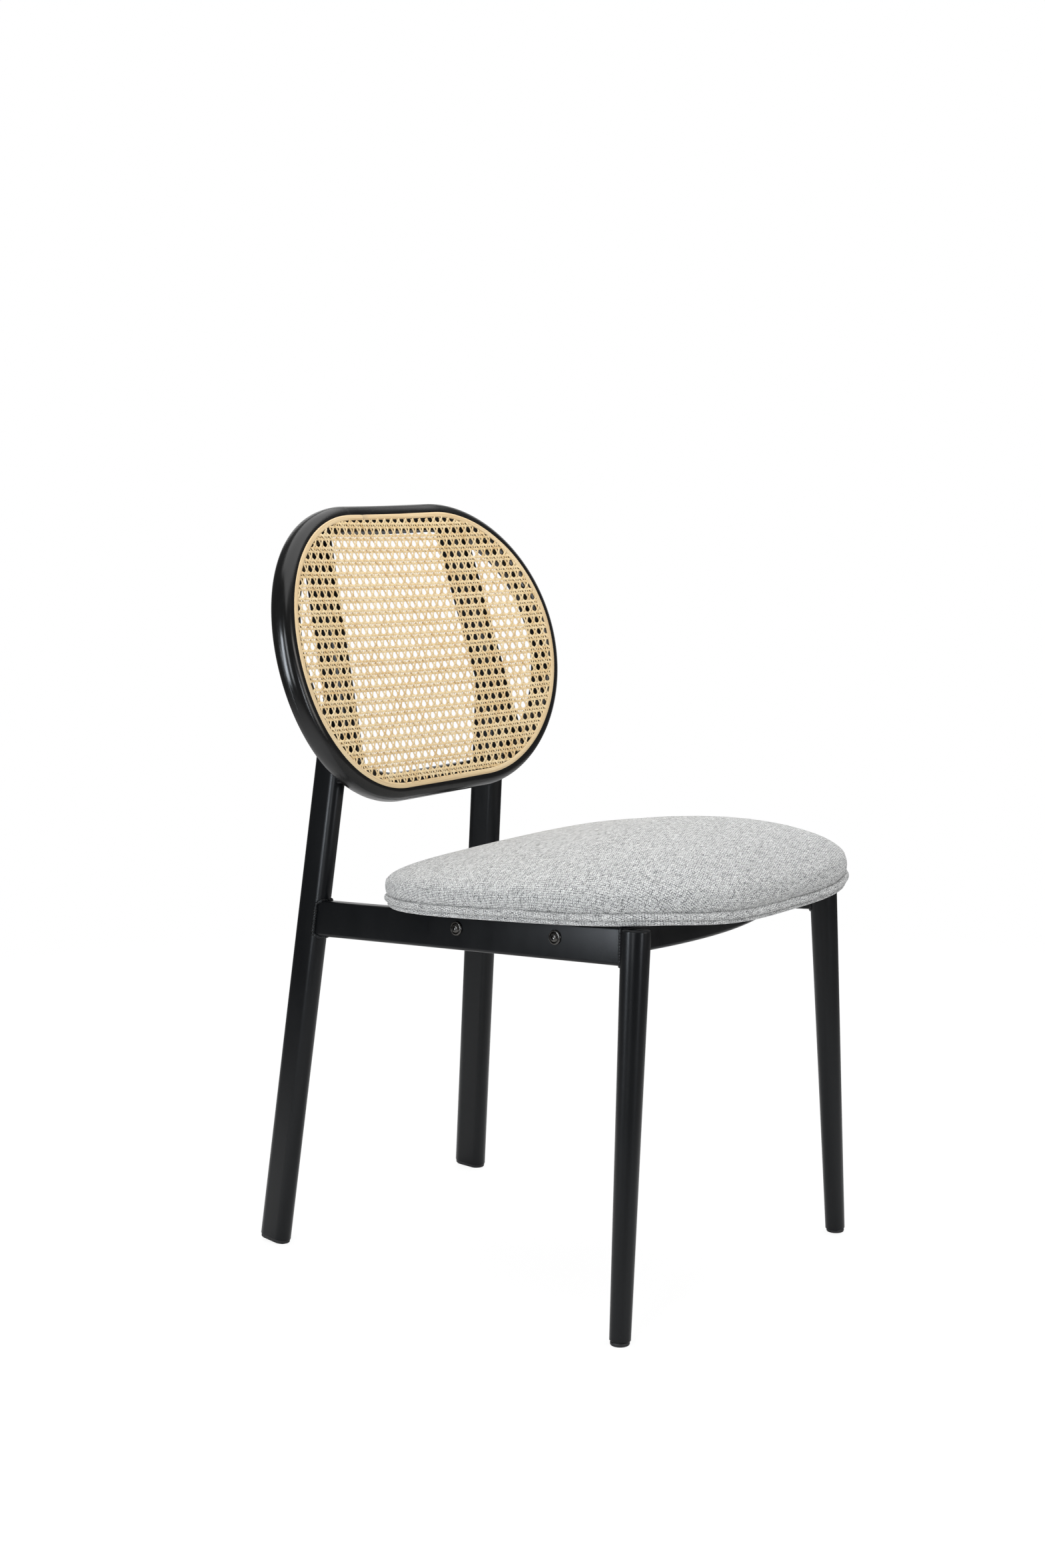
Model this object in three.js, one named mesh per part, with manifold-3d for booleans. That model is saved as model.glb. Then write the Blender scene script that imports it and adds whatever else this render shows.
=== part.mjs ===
// Rattan dining chair: a welded steel frame, an upholstered seat and an obround back with a cane panel.
// Millimetres, +Z up. The sitter faces -Y and the chair is symmetric about x = 0.
// The origin is on the floor, under the middle of the whole chair.
import * as THREE from 'three';
import { mergeVertices } from 'three/addons/utils/BufferGeometryUtils.js';
import Module from 'manifold-3d';

const wasm = await Module();
wasm.setup();

// Where the legs stand and how they lean
const rearFootX = 185;
const rearFootY = 279;
const frontFootX = 225;
const frontFootY = -227;
const sideLeanIn = THREE.MathUtils.degToRad(4.46);
const rearLegRake = THREE.MathUtils.degToRad(5.86);
const frontLegRake = THREE.MathUtils.degToRad(1.06);
const uprightRecline = THREE.MathUtils.degToRad(15.4);
const kinkHeight = 632;

// Tubes
const ovalDepth = 40;
const ovalWidth = 22;
const tubeWall = 1.5;
const frontLegFootDiameter = 22.3;
const frontLegTopDiameter = 31;
const railHeight = 40;
const railWidth = 20;
const railCorner = 4;
const railMidHeight = 393.7;
const seatTilt = THREE.MathUtils.degToRad(3.36);
const frontRailRadius = 390;
const frontRailSetback = 193;
const rearRailSetback = 92;
const rearRailHeight = 30;

// Clearances
const weldGap = 0.3;
const seatGap = 0.3;
const fitGap = 0.3;

// Feet and caps
const rearPlugFlange = 4;
const rearPlugInsert = 18;
const gliderRadius = 6;
const gliderHeight = 1.6;
const frontFootDiameter = 20.4;
const frontFootShown = 4;
const frontFootInsert = 14;
const topCapThickness = 2;
const frontLegTopDrop = 2;

// Back: an obround ring bent round a vertical axis behind the sitter's shoulders
const backCentreHeight = 677;
const backRecline = THREE.MathUtils.degToRad(15);
const backBendRadius = 1310;
const backStraight = 150;
const ringRadius = 154.5;
const ringWidth = 33;
const ringDepth = 28;
const ringSquareness = 2.5;
const beadWidth = 6.4;
const beadOffset = 0.8;
const beadProud = 1;
const beadSeat = 2.7;
const grooveDepth = 3;
const caneThickness = 1.2;
const caneBelly = 3.4;
const canePitchAcross = 25.4;
const canePitchUp = 28.94;
const caneGapShare = 0.5;
const uprightCaneGap = 2.3;
const tabWidth = 30;
const tabHeight = 16;
const tabThickness = 3;
const tabRecess = 1;

// Seat
const seatHalfWidth = 223;
const seatFront = 300;
const seatRear = 154;
const seatWidestY = -56;
const seatPlanPower = 3.4;
const borderHeight = 23;
const borderTuck = 6.5;
const shoulderHeight = 23.5;
const shoulderPower = 3.3;
const shoulderFallShare = 0.1;
const domeHeight = 26;
const domePower = 1.9;
const domeFallShare = 0.68;
const crownFallLength = 200;
const waterfallStart = 238;
const waterfallDrop = 11;
const fabricThickness = 1.5;
const fabricLip = 24;
const seamHeight = 12;
const seamDepth = 1.6;
const seamWidth = 3;
const boardThickness = 12;
const dustCoverThickness = 1.5;
const dustCoverInset = 27;
const battenWidth = 24;
const battenHeight = 30;
const battenLength = 196;
const battenGap = 1.2;

// Fasteners
const boltDiameter = 6;
const boltLength = 38;
const boltHeadDiameter = 10.6;
const boltHeadHeight = 3.2;
const boltSocketAcross = 4;
const boltSocketDepth = 2;
const boltRise = 3.7;
const boltInset = 8.4;
const boltSpacing = 136.6;
const washerDiameter = 16;
const washerHeight = 2.6;
const washerRim = 1.3;
const insertDiameter = 10;
const insertLength = 14;
const screwDiameter = 4.2;
const screwHeadDiameter = 9;
const screwHeadHeight = 2.4;
const backScrewLength = 18;
const battenScrewLength = 36;
const battenScrewSpread = 38;
const screwCrossWidth = 1.4;
const screwCrossSpan = 5;
const screwCrossDepth = 1.2;

// How finely round things are divided
const roundSteps = 20;
const smallSteps = 12;
const bendSteps = 10;
const cornerSteps = 1;
const ovalSteps = 4;
const ringArcSteps = 20;
const ringStraightSteps = 4;
const ringSectionSteps = 12;
const seatPlanSteps = 32;
const overrun = 5;

const frameBlack = new THREE.MeshStandardMaterial({ color: 0x16181b, roughness: 0.42, metalness: 0.35 });
const woodBlack = new THREE.MeshStandardMaterial({ color: 0x232325, roughness: 0.48, metalness: 0 });
const caneTan = new THREE.MeshStandardMaterial({ color: 0xdcbb84, roughness: 0.6, metalness: 0 });
const beadTan = new THREE.MeshStandardMaterial({ color: 0xead5ac, roughness: 0.5, metalness: 0 });
const fabricGrey = new THREE.MeshStandardMaterial({ color: 0xb2b4b5, roughness: 0.95, metalness: 0 });
const foamYellow = new THREE.MeshStandardMaterial({ color: 0xe6dcae, roughness: 0.95, metalness: 0 });
const plywood = new THREE.MeshStandardMaterial({ color: 0xc49a66, roughness: 0.7, metalness: 0 });
const dustBlack = new THREE.MeshStandardMaterial({ color: 0x1c1c1d, roughness: 0.95, metalness: 0 });
const boltNickel = new THREE.MeshStandardMaterial({ color: 0x4a4846, roughness: 0.3, metalness: 1 });
const zincSteel = new THREE.MeshStandardMaterial({ color: 0xa8a49a, roughness: 0.4, metalness: 1 });
const plasticBlack = new THREE.MeshStandardMaterial({ color: 0x1a1a1b, roughness: 0.55, metalness: 0 });

// Solids and geometries

function solidOf(geometry) {
  const bare = geometry.index ? geometry.toNonIndexed() : geometry.clone();
  bare.deleteAttribute('normal');
  bare.deleteAttribute('uv');
  const merged = mergeVertices(bare);
  const vertProperties = new Float32Array(merged.attributes.position.array);
  const triVerts = new Uint32Array(merged.index.array);
  return new wasm.Manifold(new wasm.Mesh({ numProp: 3, vertProperties, triVerts }));
}

function geometryOf(solid) {
  const mesh = solid.getMesh();
  const geometry = new THREE.BufferGeometry();
  geometry.setAttribute('position', new THREE.BufferAttribute(new Float32Array(mesh.vertProperties), 3));
  geometry.setIndex(new THREE.BufferAttribute(new Uint32Array(mesh.triVerts), 1));
  geometry.computeVertexNormals();
  return geometry;
}

function moved(solid, matrix) {
  return solid.transform(Array.from(matrix.elements));
}

function placed(position, rotation = new THREE.Euler()) {
  const turn = new THREE.Quaternion().setFromEuler(rotation);
  return new THREE.Matrix4().compose(position, turn, new THREE.Vector3(1, 1, 1));
}

function part(name, geometry, material, matrix = new THREE.Matrix4()) {
  const mesh = new THREE.Mesh(geometry, material);
  mesh.name = name;
  mesh.applyMatrix4(matrix);
  return mesh;
}

function inFrame(matrix, frame) {
  return frame.clone().invert().multiply(matrix);
}

// A closed solid between rings of points: each ring joins the next, and the ends are capped or joined
function ringsGeometry(rings, joinEnds) {
  const count = rings[0].length;
  const points = rings.flat();
  const index = [];
  const bands = joinEnds ? rings.length : rings.length - 1;
  for (let i = 0; i < bands; i += 1) {
    const next = (i + 1) % rings.length;
    for (let j = 0; j < count; j += 1) {
      const after = (j + 1) % count;
      const a = i * count + j;
      const b = i * count + after;
      const c = next * count + after;
      const d = next * count + j;
      index.push(a, b, c, a, c, d);
    }
  }
  if (!joinEnds) {
    for (const [ring, flip] of [[0, true], [rings.length - 1, false]]) {
      const middle = new THREE.Vector3();
      rings[ring].forEach((point) => middle.add(point));
      points.push(middle.divideScalar(count));
      const hub = points.length - 1;
      for (let j = 0; j < count; j += 1) {
        const a = ring * count + j;
        const b = ring * count + (j + 1) % count;
        index.push(...(flip ? [hub, b, a] : [hub, a, b]));
      }
    }
  }
  const geometry = new THREE.BufferGeometry().setFromPoints(points);
  geometry.setIndex(index);
  return geometry;
}

function cylinder(diameter, from, to, steps = roundSteps) {
  const geometry = new THREE.CylinderGeometry(diameter / 2, diameter / 2, to - from, steps);
  geometry.rotateX(Math.PI / 2);
  geometry.translate(0, 0, (from + to) / 2);
  return geometry;
}

function lathed(profile, steps = roundSteps) {
  const geometry = new THREE.LatheGeometry(profile.map(([r, z]) => new THREE.Vector2(r, z)), steps);
  geometry.rotateX(Math.PI / 2);
  return geometry;
}

// Tube sections, drawn round the origin: x is the tube's width and y its depth

function ovalShape(grow) {
  const half = ovalWidth / 2 + grow;
  const straight = (ovalDepth - ovalWidth) / 2;
  const shape = new THREE.Shape();
  shape.moveTo(half, -straight);
  shape.lineTo(half, straight);
  shape.absarc(0, straight, half, 0, Math.PI);
  shape.lineTo(-half, -straight);
  shape.absarc(0, -straight, half, Math.PI, 2 * Math.PI);
  return shape;
}

function railShape(width, height, grow) {
  const w = width / 2 + grow;
  const h = height / 2 + grow;
  const r = railCorner + grow;
  const shape = new THREE.Shape();
  shape.moveTo(w, -h + r);
  shape.lineTo(w, h - r);
  shape.absarc(w - r, h - r, r, 0, Math.PI / 2);
  shape.lineTo(-w + r, h);
  shape.absarc(-w + r, h - r, r, Math.PI / 2, Math.PI);
  shape.lineTo(-w, -h + r);
  shape.absarc(-w + r, -h + r, r, Math.PI, 1.5 * Math.PI);
  shape.lineTo(w - r, -h);
  shape.absarc(w - r, -h + r, r, 1.5 * Math.PI, 2 * Math.PI);
  return shape;
}

function prism(shape, from, to, curveSegments) {
  const geometry = new THREE.ExtrudeGeometry(shape, { depth: to - from, bevelEnabled: false, curveSegments });
  geometry.translate(0, 0, from);
  return geometry;
}

function ovalBar(grow, from, to) {
  return solidOf(prism(ovalShape(grow), from, to, ovalSteps));
}

function railBar(width, height, grow, from, to) {
  return solidOf(prism(railShape(width, height, grow), from, to, cornerSteps));
}

// The two side frames: x is across the tubes, y runs from the front foot to the rear foot, z is up the plane

const footLine = new THREE.Vector2(frontFootX - rearFootX, rearFootY - frontFootY);
const footSpan = footLine.length();
const toeAngle = Math.atan2(footLine.x, footLine.y);
const sideMiddleX = (rearFootX + frontFootX) / 2;
const sideMiddleY = (rearFootY + frontFootY) / 2;

function sideFrameMatrix(side) {
  const turn = new THREE.Euler(0, -side * sideLeanIn, side * toeAngle, 'ZYX');
  return placed(new THREE.Vector3(side * sideMiddleX, sideMiddleY, 0), turn);
}

function rearAxisY(z) {
  return footSpan / 2 - z * Math.tan(rearLegRake);
}

function frontAxisY(z) {
  return -footSpan / 2 + z * Math.tan(frontLegRake);
}

function railAxisZ(y) {
  return railMidHeight - y * Math.tan(seatTilt);
}

const rearLegMatrix = placed(new THREE.Vector3(0, rearAxisY(0), 0), new THREE.Euler(rearLegRake, 0, 0));
const frontLegMatrix = placed(new THREE.Vector3(0, frontAxisY(0), 0), new THREE.Euler(-frontLegRake, 0, 0));
const kinkPoint = new THREE.Vector3(0, rearAxisY(kinkHeight), kinkHeight);
const uprightMatrix = placed(kinkPoint, new THREE.Euler(-uprightRecline, 0, 0));
const railMatrix = placed(new THREE.Vector3(0, 0, railAxisZ(0)), new THREE.Euler(-Math.PI / 2 - seatTilt, 0, 0));
const frontLegTop = railAxisZ(frontAxisY(railMidHeight)) + railHeight / 2 - frontLegTopDrop;
const frontLegLength = frontLegTop / Math.cos(frontLegRake);
const rearLegLength = kinkHeight / Math.cos(rearLegRake);

function frontLegDiameter(z) {
  return frontLegFootDiameter + (frontLegTopDiameter - frontLegFootDiameter) * z / frontLegLength;
}

// A box that holds everything under the floor, seen from a side frame
function underFloor(frame) {
  const size = 4 * footSpan;
  const box = new THREE.BoxGeometry(size, size, size);
  box.translate(0, 0, -size / 2);
  return moved(solidOf(box), inFrame(new THREE.Matrix4(), frame));
}

// The back, in its own frame: x across, z up the panel, y behind the cane

const rearSide = sideFrameMatrix(1);
const uprightAxisLow = new THREE.Vector3(0, 0, 0).applyMatrix4(rearSide.clone().multiply(uprightMatrix));
const uprightAxisUp = new THREE.Vector3(0, 0, 1).applyMatrix4(rearSide.clone().multiply(uprightMatrix));
uprightAxisUp.sub(uprightAxisLow);
const uprightAtCentre = uprightAxisLow.clone()
  .addScaledVector(uprightAxisUp, (backCentreHeight - uprightAxisLow.z) / uprightAxisUp.z);

function bendSag(across) {
  return backBendRadius - Math.sqrt(backBendRadius ** 2 - across ** 2);
}

const caneRadius = ringRadius + beadOffset - beadWidth / 2 - fitGap;

function caneBulge(s, v) {
  const away = Math.hypot(Math.max(Math.abs(s) - backStraight / 2, 0), v) / caneRadius;
  return caneBelly * Math.max(1 - away ** 2, 0);
}

const uprightBehindCane = uprightCaneGap + ovalDepth / 2 - bendSag(uprightAtCentre.x);
const backCentreY = uprightAtCentre.y - uprightBehindCane / Math.cos(backRecline);
const backMatrix = placed(new THREE.Vector3(0, backCentreY, backCentreHeight), new THREE.Euler(-backRecline, 0, 0));

// From the flat drawing (along, up, proud of the panel) to the bent panel
function bent(s, v, proud) {
  const angle = s / backBendRadius;
  const radius = backBendRadius - proud;
  return new THREE.Vector3(radius * Math.sin(angle), radius * Math.cos(angle) - backBendRadius, v);
}

function obroundPath() {
  const half = backStraight / 2;
  const path = [];
  for (const end of [1, -1]) {
    for (let i = 0; i <= ringArcSteps; i += 1) {
      const angle = end * Math.PI / 2 - Math.PI / 2 + Math.PI * (i / ringArcSteps - 0.5);
      path.push({ s: end * half, nx: Math.cos(angle), nz: Math.sin(angle) });
    }
    for (let i = 1; i < ringStraightSteps; i += 1) {
      path.push({ s: end * half * (1 - 2 * i / ringStraightSteps), nx: 0, nz: end });
    }
  }
  return path;
}

// Sweeps a section, given as [outward, proud] pairs, round the obround of a given radius
function obroundSweep(radius, section) {
  const rings = obroundPath().map(({ s, nx, nz }) => section.map(([out, proud]) => {
    const reach = radius + out;
    return bent(s + nx * reach, nz * reach, proud);
  }));
  return ringsGeometry(rings.reverse(), true);
}

function ringSection(grow) {
  const points = [];
  const power = 2 / ringSquareness;
  for (let i = 0; i < ringSectionSteps; i += 1) {
    const angle = 2 * Math.PI * (i + 0.5) / ringSectionSteps;
    const c = Math.cos(angle);
    const s = Math.sin(angle);
    const out = Math.sign(c) * Math.abs(c) ** power * (ringWidth / 2 + grow);
    const proud = Math.sign(s) * Math.abs(s) ** power * (ringDepth / 2 + grow) - ringDepth / 2;
    points.push([out, proud]);
  }
  return points;
}

function grooveSection() {
  const half = beadWidth / 2 + fitGap;
  return [
    [beadOffset + half, overrun],
    [beadOffset - half, overrun],
    [beadOffset - half, -grooveDepth],
    [beadOffset + half, -grooveDepth],
  ];
}

function beadSection() {
  const half = beadWidth / 2;
  const shoulder = beadProud / 2;
  return [
    [beadOffset + half, shoulder],
    [beadOffset + half / 2, beadProud],
    [beadOffset - half / 2, beadProud],
    [beadOffset - half, shoulder],
    [beadOffset - half, -beadSeat],
    [beadOffset + half, -beadSeat],
  ];
}

// Where the four mounting tabs lie flat on the ring's rear face, with +X along the ring and +Z away from it
function tabMatrices() {
  const matrices = [];
  const inner = uprightAtCentre.x - ovalWidth / 2 - tabWidth / 2;
  for (const side of [1, -1]) {
    for (const [place, end] of [['upper', 1], ['lower', -1]]) {
      const lean = end * obroundHeight(inner) * Math.sin(sideLeanIn);
      const slope = Math.asin((inner - lean - backStraight / 2) / ringRadius);
      const across = inner - lean + tabHeight / 2 * Math.sin(slope);
      const point = bent(side * across, end * obroundHeight(across), tabRecess - ringDepth);
      const bend = new THREE.Euler(-Math.PI / 2, 0, -side * across / backBendRadius, 'ZYX');
      const along = placed(new THREE.Vector3(), new THREE.Euler(0, 0, side * end * slope));
      matrices.push({ side, place, matrix: placed(point, bend).multiply(along) });
    }
  }
  return matrices;
}

// How high the ring's middle line is above the back's centre, at a distance across
function obroundHeight(across) {
  const past = Math.max(across - backStraight / 2, 0);
  return Math.sqrt(ringRadius ** 2 - past ** 2);
}

function screwGeometry(length) {
  const head = solidOf(lathed([
    [0, -length],
    [screwDiameter / 2, screwDiameter - length],
    [screwDiameter / 2, 0],
    [screwHeadDiameter / 2, 0],
    [screwHeadDiameter / 2, screwHeadHeight / 3],
    [screwHeadDiameter / 4, screwHeadHeight],
    [0, screwHeadHeight],
  ], smallSteps));
  let slot = solidOf(new THREE.BoxGeometry(screwCrossSpan, screwCrossWidth, 2 * screwCrossDepth));
  slot = slot.add(solidOf(new THREE.BoxGeometry(screwCrossWidth, screwCrossSpan, 2 * screwCrossDepth)));
  return head.subtract(moved(slot, placed(new THREE.Vector3(0, 0, screwHeadHeight))));
}

function tabPlate(grow) {
  const plate = new THREE.BoxGeometry(tabWidth + 2 * grow, tabHeight + 2 * grow, tabThickness + grow);
  plate.translate(0, 0, tabThickness / 2 - grow / 2);
  return solidOf(plate);
}

function mountingTab(side, matrix) {
  const bore = cylinder(screwDiameter + 2 * fitGap, -overrun, overrun, smallSteps);
  const frame = backMatrix.clone().multiply(matrix);
  const upright = moved(ovalBar(weldGap, uprightBottom, uprightTop), inFrame(uprightFrame(side), frame));
  return geometryOf(tabPlate(0).subtract(solidOf(bore)).subtract(upright));
}

function backRing() {
  let ring = solidOf(obroundSweep(ringRadius, ringSection(0)));
  ring = ring.subtract(solidOf(obroundSweep(ringRadius, grooveSection())));
  for (const { matrix } of tabMatrices()) {
    const bore = cylinder(screwDiameter + 2 * fitGap, tabThickness - backScrewLength, tabThickness, smallSteps);
    ring = ring.subtract(moved(tabPlate(weldGap).add(solidOf(bore)), matrix));
  }
  return geometryOf(ring);
}

// The cane net: a bent sheet with one hole in each cell of the weave
function canePanel() {
  const half = backStraight / 2;
  const rim = obroundPath().map(({ s, nx, nz }) => new THREE.Vector2(s + nx * caneRadius, nz * caneRadius));
  const sheet = new THREE.Shape(rim);
  const gapAcross = canePitchAcross * caneGapShare / 2;
  const gapUp = canePitchUp * caneGapShare / 2;
  const margin = Math.hypot(gapAcross, gapUp) + caneThickness;
  const columns = Math.ceil((half + caneRadius) / canePitchAcross);
  const rows = Math.ceil(caneRadius / canePitchUp);
  for (let row = -rows; row <= rows; row += 1) {
    for (let column = -columns; column <= columns; column += 1) {
      const s = column * canePitchAcross;
      const v = row * canePitchUp;
      const away = Math.hypot(Math.max(Math.abs(s) - half, 0), v);
      if (away < caneRadius - margin) {
        const hole = new THREE.Path();
        hole.moveTo(s - gapAcross, v);
        hole.lineTo(s, v + gapUp);
        hole.lineTo(s + gapAcross, v);
        hole.lineTo(s, v - gapUp);
        hole.closePath();
        sheet.holes.push(hole);
      }
    }
  }
  const geometry = prism(sheet, 0, caneThickness, 1);
  const place = geometry.attributes.position;
  for (let i = 0; i < place.count; i += 1) {
    const s = place.getX(i);
    const v = place.getY(i);
    const point = bent(s, v, place.getZ(i) + caneBulge(s, v));
    place.setXYZ(i, point.x, point.y, point.z);
  }
  return geometryOf(solidOf(geometry));
}

// The steel frame

function ringEnvelope(frame) {
  const matrix = inFrame(backMatrix, frame);
  return moved(solidOf(obroundSweep(ringRadius, ringSection(weldGap))), matrix);
}

const uprightReach = obroundHeight(uprightAtCentre.x) / Math.cos(sideLeanIn);
const uprightTop = (backCentreHeight - kinkHeight) / Math.cos(uprightRecline) + uprightReach;
const uprightBottom = uprightTop - 2 * uprightReach;

function uprightFrame(side) {
  return sideFrameMatrix(side).multiply(uprightMatrix);
}

function backUpright(side) {
  let tube = ovalBar(0, uprightBottom, uprightTop);
  tube = tube.subtract(ovalBar(-tubeWall, uprightBottom + tubeWall, uprightTop - tubeWall));
  return geometryOf(tube.subtract(ringEnvelope(uprightFrame(side))));
}

function rearLeg() {
  let tube = ovalBar(0, gliderHeight + rearPlugFlange + weldGap, rearLegLength);
  tube = tube.subtract(ovalBar(-tubeWall, 0, rearLegLength + overrun));
  const upright = ovalBar(weldGap, uprightBottom - 2 * overrun, uprightTop);
  return geometryOf(tube.subtract(moved(upright, inFrame(uprightMatrix, rearLegMatrix))));
}

function frontLegProfile(grow, from, to) {
  return [
    [0, from],
    [frontLegDiameter(from) / 2 + grow, from],
    [frontLegDiameter(to) / 2 + grow, to],
    [0, to],
  ];
}

function frontLeg() {
  const tube = solidOf(lathed(frontLegProfile(0, frontFootShown + weldGap, frontLegLength)));
  return geometryOf(tube.subtract(solidOf(lathed(frontLegProfile(-tubeWall, 0, frontLegLength + overrun)))));
}

function frontLegCap() {
  const radius = frontLegDiameter(frontLegLength) / 2 - tubeWall - fitGap;
  const inner = radius - topCapThickness;
  const depth = 3 * topCapThickness;
  return lathed([
    [0, frontLegLength - topCapThickness],
    [inner, frontLegLength - topCapThickness],
    [inner, frontLegLength - depth],
    [radius - topCapThickness / 4, frontLegLength - depth],
    [radius, frontLegLength],
    [0, frontLegLength],
  ]);
}

function frontFoot(frame) {
  const shown = frontFootShown;
  const inside = frontLegFootDiameter / 2 - tubeWall - fitGap;
  const foot = solidOf(lathed([
    [0, -overrun],
    [frontFootDiameter / 2, -overrun],
    [frontFootDiameter / 2, shown],
    [inside, shown],
    [inside, shown + frontFootInsert],
    [0, shown + frontFootInsert],
  ]));
  return geometryOf(foot.subtract(underFloor(frame)));
}

function rearFoot(frame) {
  const top = gliderHeight + rearPlugFlange;
  let foot = ovalBar(-tubeWall / 2, gliderHeight, top);
  foot = foot.add(ovalBar(-tubeWall - fitGap, gliderHeight + tubeWall, top + rearPlugInsert));
  foot = foot.add(solidOf(cylinder(2 * gliderRadius, -overrun, gliderHeight + tubeWall)));
  return geometryOf(foot.subtract(underFloor(frame)));
}

function boltHoles(diameter, from, to) {
  return [boltRearY, boltFrontY].map((y) => {
    const hole = cylinder(diameter, from, to, smallSteps);
    hole.rotateY(Math.PI / 2);
    hole.translate(0, y, railAxisZ(y) + boltRise);
    return solidOf(hole);
  });
}

function sideRail(side) {
  const front = frontAxisY(railMidHeight) / Math.cos(seatTilt);
  const rear = rearAxisY(railMidHeight) / Math.cos(seatTilt);
  let tube = railBar(railWidth, railHeight, 0, front, rear);
  tube = tube.subtract(railBar(railWidth, railHeight, -tubeWall, front - overrun, rear + overrun));
  tube = moved(tube, railMatrix);
  tube = tube.subtract(moved(ovalBar(weldGap, 0, rearLegLength), rearLegMatrix));
  const leg = lathed(frontLegProfile(weldGap, 0, frontLegLength + overrun));
  tube = tube.subtract(moved(solidOf(leg), frontLegMatrix));
  for (const hole of boltHoles(boltDiameter + 2 * fitGap, -railWidth, railWidth)) {
    tube = tube.subtract(hole);
  }
  return geometryOf(tube);
}

// The seat frame: its plane lies on the outer top edges of the side rails

const railTop = new THREE.Vector3(railWidth / 2 - railCorner / 2, 0, railAxisZ(0) + railHeight / 2 / Math.cos(seatTilt));
railTop.applyMatrix4(rearSide);
const seatPlaneHeight = railTop.z + railTop.y * Math.tan(seatTilt) + seatGap;
const seatMatrix = placed(new THREE.Vector3(0, 0, seatPlaneHeight), new THREE.Euler(-seatTilt, 0, 0));
const sideToSeat = inFrame(rearSide, seatMatrix);
const seatToSide = inFrame(seatMatrix, rearSide);

// How far out the side rail's inner face is, in the seat's frame
function railInnerX(seatY) {
  const y = seatY - sideMiddleY;
  return new THREE.Vector3(-railWidth / 2, y, railAxisZ(y)).applyMatrix4(sideToSeat).x;
}

// Where the bowed front rail's rear face is, at a distance across
function frontRailRear(x) {
  return frontRailRadius - frontRailSetback - Math.sqrt((frontRailRadius - railWidth / 2) ** 2 - x ** 2);
}

// The battens start behind the front rail's end, and the bolts go into them
const battenFrontY = frontRailRear(railInnerX(-frontRailSetback)) + battenGap;
const battenCentreY = battenFrontY + battenLength / 2;
const battenX = railInnerX(battenCentreY) - battenWidth / 2;
const boltFrontY = new THREE.Vector3(battenX, battenFrontY + boltInset, 0).applyMatrix4(seatToSide).y;
const boltRearY = boltFrontY + boltSpacing;

function sideRailEnvelope(frame, grow) {
  const bar = railBar(railWidth, railHeight, grow, -footSpan / 2, footSpan / 2);
  return [1, -1].map((side) => moved(bar, inFrame(sideFrameMatrix(side).multiply(railMatrix), frame)));
}

// Everything beyond the inner faces of the side rails
function outsideRails(frame) {
  return [1, -1].map((side) => {
    const box = new THREE.BoxGeometry(footSpan, 2 * footSpan, footSpan);
    box.translate(side * (footSpan / 2 - railWidth / 2 - weldGap), 0, railAxisZ(0));
    return moved(solidOf(box), inFrame(sideFrameMatrix(side), frame));
  });
}

class FrontRailArc extends THREE.Curve {
  getPoint(t, target = new THREE.Vector3()) {
    const sweep = Math.asin(frontFootX / frontRailRadius);
    const angle = sweep * (2 * t - 1);
    const y = -frontRailSetback + frontRailRadius * (1 - Math.cos(angle));
    return target.set(frontRailRadius * Math.sin(angle), y, 0);
  }
}

function sweptRail(grow) {
  const section = railShape(railHeight, railWidth, grow);
  const geometry = new THREE.ExtrudeGeometry(section, {
    extrudePath: new FrontRailArc(),
    steps: bendSteps,
    curveSegments: cornerSteps,
  });
  return solidOf(geometry);
}

function frontRail() {
  let rail = sweptRail(0).subtract(sweptRail(-tubeWall));
  const ends = outsideRails(seatMatrix);
  rail = moved(rail, placed(new THREE.Vector3(0, 0, -railHeight / 2 - seatGap)));
  for (const end of ends) {
    rail = rail.subtract(end);
  }
  return geometryOf(rail);
}

function rearRail() {
  const across = placed(new THREE.Vector3(0, rearRailSetback, -rearRailHeight / 2 - seatGap),
    new THREE.Euler(0, Math.PI / 2, 0));
  let rail = railBar(rearRailHeight, railWidth, 0, -frontFootX, frontFootX);
  rail = moved(rail.subtract(railBar(rearRailHeight, railWidth, -tubeWall, -footSpan, footSpan)), across);
  for (const end of outsideRails(seatMatrix)) {
    rail = rail.subtract(end);
  }
  return geometryOf(rail);
}

// The seat, drawn flat on its plane and then bent down along the front edge

function waterfall(y) {
  const past = Math.max(-y - waterfallStart, 0) / (seatFront - waterfallStart);
  return waterfallDrop * past ** 2;
}

// A point of the seat's plan: a superellipse that is longer to the front than to the rear
function planPoint(angle, inset) {
  const c = Math.cos(angle);
  const s = Math.sin(angle);
  const power = 2 / seatPlanPower;
  const reach = s < 0 ? seatFront + seatWidestY : seatRear - seatWidestY;
  const x = Math.sign(c) * Math.abs(c) ** power * (seatHalfWidth - inset);
  const y = seatWidestY + Math.sign(s) * Math.abs(s) ** power * (reach - inset);
  return new THREE.Vector2(x, y);
}

function seatRing(inset, share, height) {
  const ring = [];
  for (let i = 0; i < seatPlanSteps; i += 1) {
    const rim = planPoint(2 * Math.PI * (i + 0.5) / seatPlanSteps, inset);
    const x = rim.x * share;
    const y = seatWidestY + (rim.y - seatWidestY) * share;
    ring.push(new THREE.Vector3(x, y, height(y) - waterfall(y)));
  }
  return ring;
}

// The top of the pad above its border: a full shoulder that turns into a gentle dome, lower to the rear
function crown(share, y, shrink) {
  const rearward = y / crownFallLength;
  const shoulder = (shoulderHeight - shrink) * (1 - shoulderFallShare * rearward);
  const dome = domeHeight * (1 - domeFallShare * rearward);
  return shoulder * (1 - share ** shoulderPower) ** (1 / shoulderPower) + dome * (1 - share ** domePower);
}

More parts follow.
